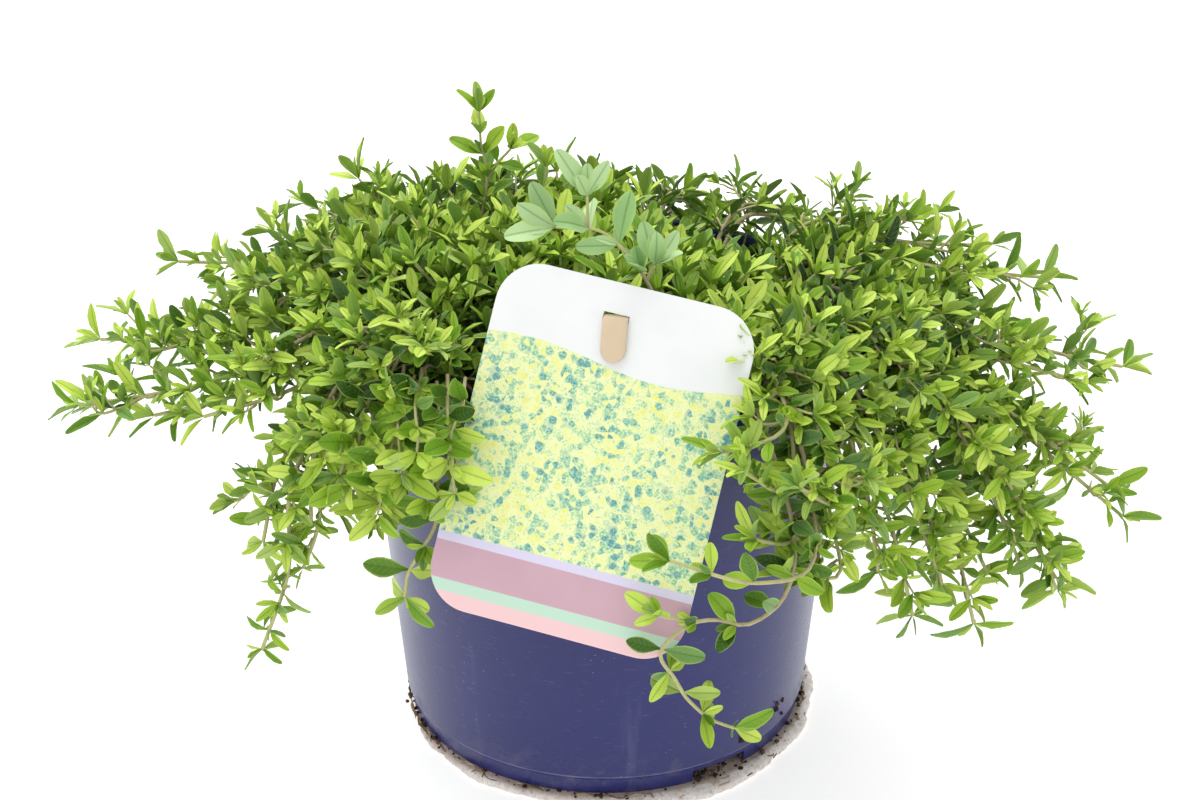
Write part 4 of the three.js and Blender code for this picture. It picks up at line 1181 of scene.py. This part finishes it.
def leaf_finish(name, greens):
    leaf = Finish(name, Specular_IOR_Level=0.3)
    youth, tone = leaf.mark("youth"), leaf.mark("tone")
    across = leaf.mark("across").math("ABSOLUTE")
    along = leaf.mark("along")
    # leaf age picks the colour; its low end, on the old leaves deep in the plant, gives painted shade
    age_and_inner_shade = youth + (tone - 0.5) * 0.7 + (leaf.noise(60) - 0.5) * 0.4
    green = leaf.ramp(age_and_inner_shade, *greens)
    silvery = leaf.mix((tone * 7.3).math("FRACT").step(0.78, 0.84) * 0.5, green, rgb(118, 154, 100))
    marked = leaf.mix(across.step(0.74, 0.98) * 0.45, silvery, rgb(188, 214, 104))
    # darker along the midrib: painted shade in the crease of the fold
    marked = leaf.mix(across.step(0.16, 0.03) * 0.4, marked, rgb(72, 110, 26))
    vein = (along * 46 - across * 9).math("SINE").step(0.7, 1.0) * across.step(0.9, 0.6)
    veined = leaf.mix(vein * 0.12, marked, rgb(170, 196, 92))
    dull = leaf.mix(leaf.mark("under").step(0.3, 0.8) * 0.5, veined, rgb(142, 174, 92))
    rough = 0.4 + leaf.mark("under") * 0.2 + leaf.noise(900) * 0.1
    relief = (1 - vein) * 0.4 + across.step(0.0, 0.16) * 0.6
    return leaf.set(Base_Color=dull, Roughness=rough, Normal=leaf.bump(relief, 0.12, 0.6))


def bark_finish():
    bark = Finish("thyme_bark", Specular_IOR_Level=0.3)
    youth = bark.mark("youth")
    fibre = bark.noise(500, 4, 0.7, bark.stretch(1, 1, 0.35))
    woody = bark.mix(fibre, rgb(132, 114, 84), rgb(202, 188, 156))
    green = bark.mix(fibre, rgb(156, 156, 96), rgb(206, 206, 148))
    colour = bark.mix(youth.step(0.2, 0.75), woody, green)
    return bark.set(Base_Color=colour, Roughness=0.6 + fibre * 0.25, Normal=bark.bump(fibre, 0.2, 0.5))


def pot_finish():
    pot = Finish("pot_plastic", Specular_IOR_Level=0.34)
    z = pot.axes()[2]
    cloud = pot.noise(9, 4, 0.6)
    haze = pot.noise(38, 5, 0.65)
    colour = pot.mix(cloud.step(0.35, 0.7), rgb(42, 44, 98), rgb(48, 51, 108))
    colour = pot.mix(haze.step(0.55, 0.8) * 0.25, colour, rgb(66, 68, 116))
    streak = pot.noise(60, 4, 0.7, pot.stretch(1.0, 1.0, 0.08)).step(0.6, 0.75)
    scratch = pot.noise(240, 2, 0.5, pot.stretch(1, 1, 6), 0.6).step(0.67, 0.7)
    colour = pot.mix(streak * 0.12 + scratch * 0.1, colour, rgb(150, 150, 182))
    speck = pot.cells(420).step(0.1, 0.04) * pot.noise(30).step(0.54, 0.62)
    colour = pot.mix(speck * 0.5, colour, rgb(196, 190, 186))
    foot = z.step(0.022, 0.006) * pot.noise(120, 5, 0.7).step(0.48, 0.7)
    colour = pot.mix(foot * 0.22, colour, rgb(150, 140, 140))
    # a pale line round the step of the foot, broken by noise: a painted highlight, not a colour of the
    # plastic
    painted_step_highlight = (z * 1000 - 9.5).math("ABSOLUTE").step(0.5, 0.15) * pot.noise(70, 3).step(0.3, 0.55)
    colour = pot.mix(painted_step_highlight * 0.6, colour, rgb(136, 136, 172))
    dirt = pot.cells(260).step(0.2, 0.1) * pot.noise(60, 2).step(0.54, 0.6) * z.step(0.024, 0.012)
    colour = pot.mix(dirt * 0.7, colour, rgb(40, 30, 34))
    worn = (z * 1000).step(130.6, 133.0) * pot.noise(200, 3).step(0.4, 0.75)
    colour = pot.mix(worn * 0.4, colour, rgb(140, 140, 172))
    rough = 0.22 + haze * 0.12 + foot * 0.3 + speck * 0.2
    relief = haze * 0.3 + scratch * 0.3 + pot.noise(900, 2) * 0.15
    return pot.set(Base_Color=colour, Roughness=rough, Normal=pot.bump(relief, 0.08, 0.5))


def compost_finish(name):
    earth = Finish(name, Specular_IOR_Level=0.25)
    tone = earth.mark("tone")
    grain = earth.noise(420, 5, 0.7)
    colour = earth.mix(grain.step(0.3, 0.75), rgb(28, 20, 14), rgb(78, 58, 42))
    colour = earth.mix(tone.step(0.7, 1.0) * 0.6, colour, rgb(120, 92, 66))
    return earth.set(Base_Color=colour, Roughness=0.85 + grain * 0.1, Normal=earth.bump(grain, 0.5, 0.8))


def mat_finish():
    mat = Finish("root_mat_felt", Specular_IOR_Level=0.25)
    fibre = mat.noise(700, 5, 0.75, distortion=0.8)
    patch = mat.noise(70, 4, 0.6)
    x, y = mat.axes()[:2]
    reach = (x * x + y * y).math("POWER", 0.5) * 1000
    colour = mat.mix(fibre.step(0.3, 0.7), rgb(218, 204, 196), rgb(252, 248, 246))
    brown = patch.step(0.5, 0.7) * 0.5 * reach.step(67.5, 64.0) + reach.step(64.8, 62.6) * 0.6
    colour = mat.mix(brown, colour, rgb(112, 78, 58))
    crumb = mat.cells(300).step(0.2, 0.08)
    colour = mat.mix(crumb * 0.35, colour, rgb(94, 66, 50))
    return mat.set(Base_Color=colour, Roughness=0.85 + patch * 0.1, Normal=mat.bump(fibre, 0.4, 0.7))


def root_finish():
    root = Finish("dry_roots", Specular_IOR_Level=0.3)
    tone = root.noise(90, 2)
    colour = root.mix(tone.step(0.35, 0.65), rgb(96, 66, 42), rgb(196, 178, 152))
    return root.set(Base_Color=colour, Roughness=0.7 + tone * 0.15)


TILES = 56


def label_finish():
    """A satin card: bare white at the top, a field of small tiles below it, plain bands at the foot."""
    card = Finish("label_print", Specular_IOR_Level=0.5, Coat_Roughness=0.25)
    place = card.node("ShaderNodeUVMap", uv_map="UVMap")
    u, v = (axis * UV_SPAN for axis in card.axes(place)[:2])
    soft = card.noise(7, 3, 0.55, place)
    white = card.mix(soft, rgb(240, 242, 240), rgb(228, 230, 232))
    # mottled tiles of lime, pale yellow, green and teal
    tile = card.cells(TILES, "Color", place)
    pick = card.node("ShaderNodeSeparateColor", {0: tile}) * 0.6
    drift = 0.2 + (card.noise(5, 3, 0.6, place) - 0.5) * 0.6 + (card.noise(150, 3, 0.7, place) - 0.5) * 1.3
    tiles = card.ramp(pick + drift, (0.0, rgb(222, 228, 118)), (0.26, rgb(232, 236, 152)),
                      (0.42, rgb(236, 241, 192)), (0.54, rgb(196, 224, 160)), (0.68, rgb(146, 200, 172)),
                      (0.84, rgb(88, 152, 158)))
    grout = card.cells(TILES, "Distance", place).step(0.5, 0.75)
    tiles = card.mix(grout * 0.5, tiles, rgb(240, 246, 186))
    # the field hangs below a gently waved edge, on plain bands across the foot of the card
    edge = (u * 0.085 + 0.6).math("SINE") * 2.2 + 74
    colour = card.mix((v - edge).step(0.2, -0.2), white, tiles)
    mauve = card.mix(card.noise(5, 2, 0.5, place), rgb(206, 170, 182), rgb(190, 154, 168))
    lilac, mint, pink = rgb(214, 208, 232), rgb(190, 220, 200), rgb(236, 198, 200)
    for top, band in ((20.0, lilac), (17.6, mauve), (7.4, mint), (4.2, pink)):
        colour = card.mix((v - top).step(0.15, -0.15), colour, band)
    rough = 0.26 + soft * 0.14 + card.noise(60, 3, 0.6, place) * 0.08
    relief = card.noise(14, 3, 0.5, place)
    return card.set(Base_Color=colour, Roughness=rough, Normal=card.bump(relief, 0.25, 0.35))


def stake_finish():
    stake = Finish("stake_plastic", Specular_IOR_Level=0.45)
    cloud = stake.noise(120, 4, 0.6)
    colour = stake.mix(cloud, rgb(216, 196, 168), rgb(204, 182, 152))
    return stake.set(Base_Color=colour, Roughness=0.4 + cloud * 0.15, Normal=stake.bump(cloud, 0.06, 0.5))


def floor_finish():
    return Finish("pale_floor", Base_Color=rgb(206, 206, 206), Roughness=0.7, Specular_IOR_Level=0.2,
                  Emission_Color=rgb(255, 255, 255), Emission_Strength=0.6).material


# The plant

def thicket_top(x, y, draw):
    """How high a shoot of the low dome stands, with a dip at the back right."""
    deep = THICKET_REACH[1] if y > 0 else THICKET_REACH[2]
    share = math.hypot(x / THICKET_REACH[0], y / deep)
    depth, middle, half = THICKET_DIP
    dip = depth * max(0.0, 1 - ((x - middle) / half) ** 2) * min(1.0, max(0.0, (y + 20) / 40))
    return THICKET_CROWN - THICKET_SINK * share ** 2.2 - dip - 0.05 * x + draw.uniform(-6, 4)


def make_thicket(tree, leaf, bark):
    """The crowded middle: shoots rise from one woody foot and spread to a low dome, in quarters."""
    quarters = [Spray(QUARTER_SEED + i) for i in range(THICKET_QUARTERS)]
    draw = random.Random(THICKET_SEED)

    def quarter(tip):
        return quarters[int((math.atan2(tip[1], tip[0]) / TURN % 1) * THICKET_QUARTERS)]

    def route(tip, lean):
        foot = Vector((tip.x * 0.42, tip.y * 0.42, COMPOST_TOP - 2))
        knee = Vector((tip.x * lean, tip.y * lean, between((foot.z, tip.z), 0.5)))
        return [foot, knee, tip]

    for point in LAID_SHOOTS:
        tip = Vector(point)
        spray = quarter(tip)
        add_tufts(spray, spray.twig(route(tip, 0.7), **CROWN_SHOOT), [0.6, 0.75])
    for i in range(THICKET_FILL):
        angle = i * GOLDEN_ANGLE + draw.uniform(-0.2, 0.2)
        share = math.sqrt((i + 0.5) / THICKET_FILL) * 1.04
        deep = THICKET_REACH[1] if math.sin(angle) > 0 else THICKET_REACH[2]
        x = share * THICKET_REACH[0] * math.cos(angle)
        y = share * deep * math.sin(angle)
        tip = Vector((x, y, thicket_top(x, y, draw)))
        vigour = draw.uniform(0.78, 1.05)
        points = route(tip, draw.uniform(0.78, 0.98))
        youth = (0.0, draw.uniform(0.7, 1.0))
        quarter(tip).twig(points, youth=youth, vigour=(vigour, vigour), gap=draw.uniform(5, 7), **FILL_SHOOT)
    sides = ["thicket_right_back", "thicket_left_back", "thicket_left_front", "thicket_right_front"]
    for i, (spray, name) in enumerate(zip(quarters, sides)):
        piece = grow(spray, name, tree, QUARTER_LEAF_SEED + i, leaf, bark, light=0.35)
        place(piece, "leaf_mid", "thicket")


def make_sprig(name, tree, leaf, bark):
    """A sprig on twigs laid one by one, whose leaves turn their upper sides to the front."""
    seed, slot, face = SPRIGS[name]
    spray = Spray(seed)
    nodes = []
    if name in SPRIG_STEMS:
        node, leafy_from, size, gap = SPRIG_STEMS[name]
        spray.twig(stem_points(LAID_STEMS[node][0]), leafy_from=leafy_from, vigour=(size, size), gap=gap,
                   **SPRIG_STEM)
        nodes.append(node)
    for points, size, gap in SPRIG_TWIGS.get(name, []):
        spray.twig([Vector(point) for point in points], vigour=(size, size), gap=gap, **SPRIG_TWIG)
    place(grow(spray, name + "_sprig", tree, seed, leaf, bark, light=0.8, face=face), slot, *nodes)


def make_plant(leaf, pale_leaf, bark):
    slender = [leaf_shape(name, *shape) for name, shape in SLENDER_LEAVES.items()]
    broad = [leaf_shape(name, *shape) for name, shape in BROAD_LEAVES.items()]
    tree = leafy_tree("leafy_twigs", slender)
    broad_tree = leafy_tree("broad_leafy_twigs", broad)
    sprig_nodes = [stem[0] for stem in SPRIG_STEMS.values()]
    for index, (name, (through, shoots)) in enumerate(LAID_STEMS.items()):
        if name not in sprig_nodes:
            spray = laid_spray(index, through, shoots, VIGOUR.get(name, 1.0), BESIDE.get(name, []),
                               HABIT.get(name, USUAL_HABIT))
            slot = ("leaf_deep", "leaf_bright", "leaf_shade", "leaf_mid")[index % 4]
            place(grow(spray, name + "_spray", tree, SPRAY_LEAF_SEED + index, leaf, bark), slot, name)
    make_thicket(tree, leaf, bark)
    place(grow(root_spray(), "mat_roots", tree, ROOT_SEED, leaf, root_finish()), "root_mat")
    for name in SPRIGS:
        make_sprig(name, broad_tree, pale_leaf if name == "pale" else leaf, bark)
    for shape in slender + broad:
        bpy.data.objects.remove(shape)


# Floor, light and camera

def make_floor():
    corners = [(x * FLOOR_REACH, y * FLOOR_REACH, 0) for x, y in ((-1, -1), (1, -1), (1, 1), (-1, 1))]
    dress(to_object("floor", corners, [(0, 1, 2, 3)]), floor_finish())


def make_light():
    """A white room, and one soft light from above."""
    world = bpy.data.worlds.new("white_room")
    bpy.context.scene.world = world
    world.use_nodes = True
    room = world.node_tree.nodes["Background"].inputs
    room["Color"].default_value = (1, 1, 1, 1)
    room["Strength"].default_value = WORLD_LIGHT
    skylight = bpy.data.lights.new("soft_light", "SUN")
    skylight.energy, skylight.angle = SKYLIGHT, SKYLIGHT_ANGLE
    lamp = add_object("soft_light", skylight)
    lamp.rotation_euler = SKYLIGHT_WAY.to_track_quat("-Z", "Y").to_euler()


def make_camera():
    data = bpy.data.cameras.new("camera")
    data.lens, data.sensor_width = CAMERA_LENS, CAMERA_SENSOR
    camera = add_object("camera", data)
    back = Vector((0, -math.cos(CAMERA_RISE), math.sin(CAMERA_RISE)))
    camera.location = (CAMERA_AIM + back * CAMERA_DISTANCE) * MM
    camera.rotation_euler = (-back).to_track_quat("-Z", "Y").to_euler()
    bpy.context.scene.camera = camera


# Build

dress(make_pot(), pot_finish())
dress(make_mat(), mat_finish())
hanging = label_frame()
dress(make_label(hanging), label_finish())
dress(make_stake(hanging), stake_finish())
dress(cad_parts["compost"], compost_finish("compost_bark"))
make_plant(leaf_finish("thyme_leaf", LIME_TO_GREEN), leaf_finish("sage_leaf", SAGE), bark_finish())
make_crumbs()
make_floor()
make_light()
make_camera()
bpy.context.scene.view_settings.view_transform = "Standard"
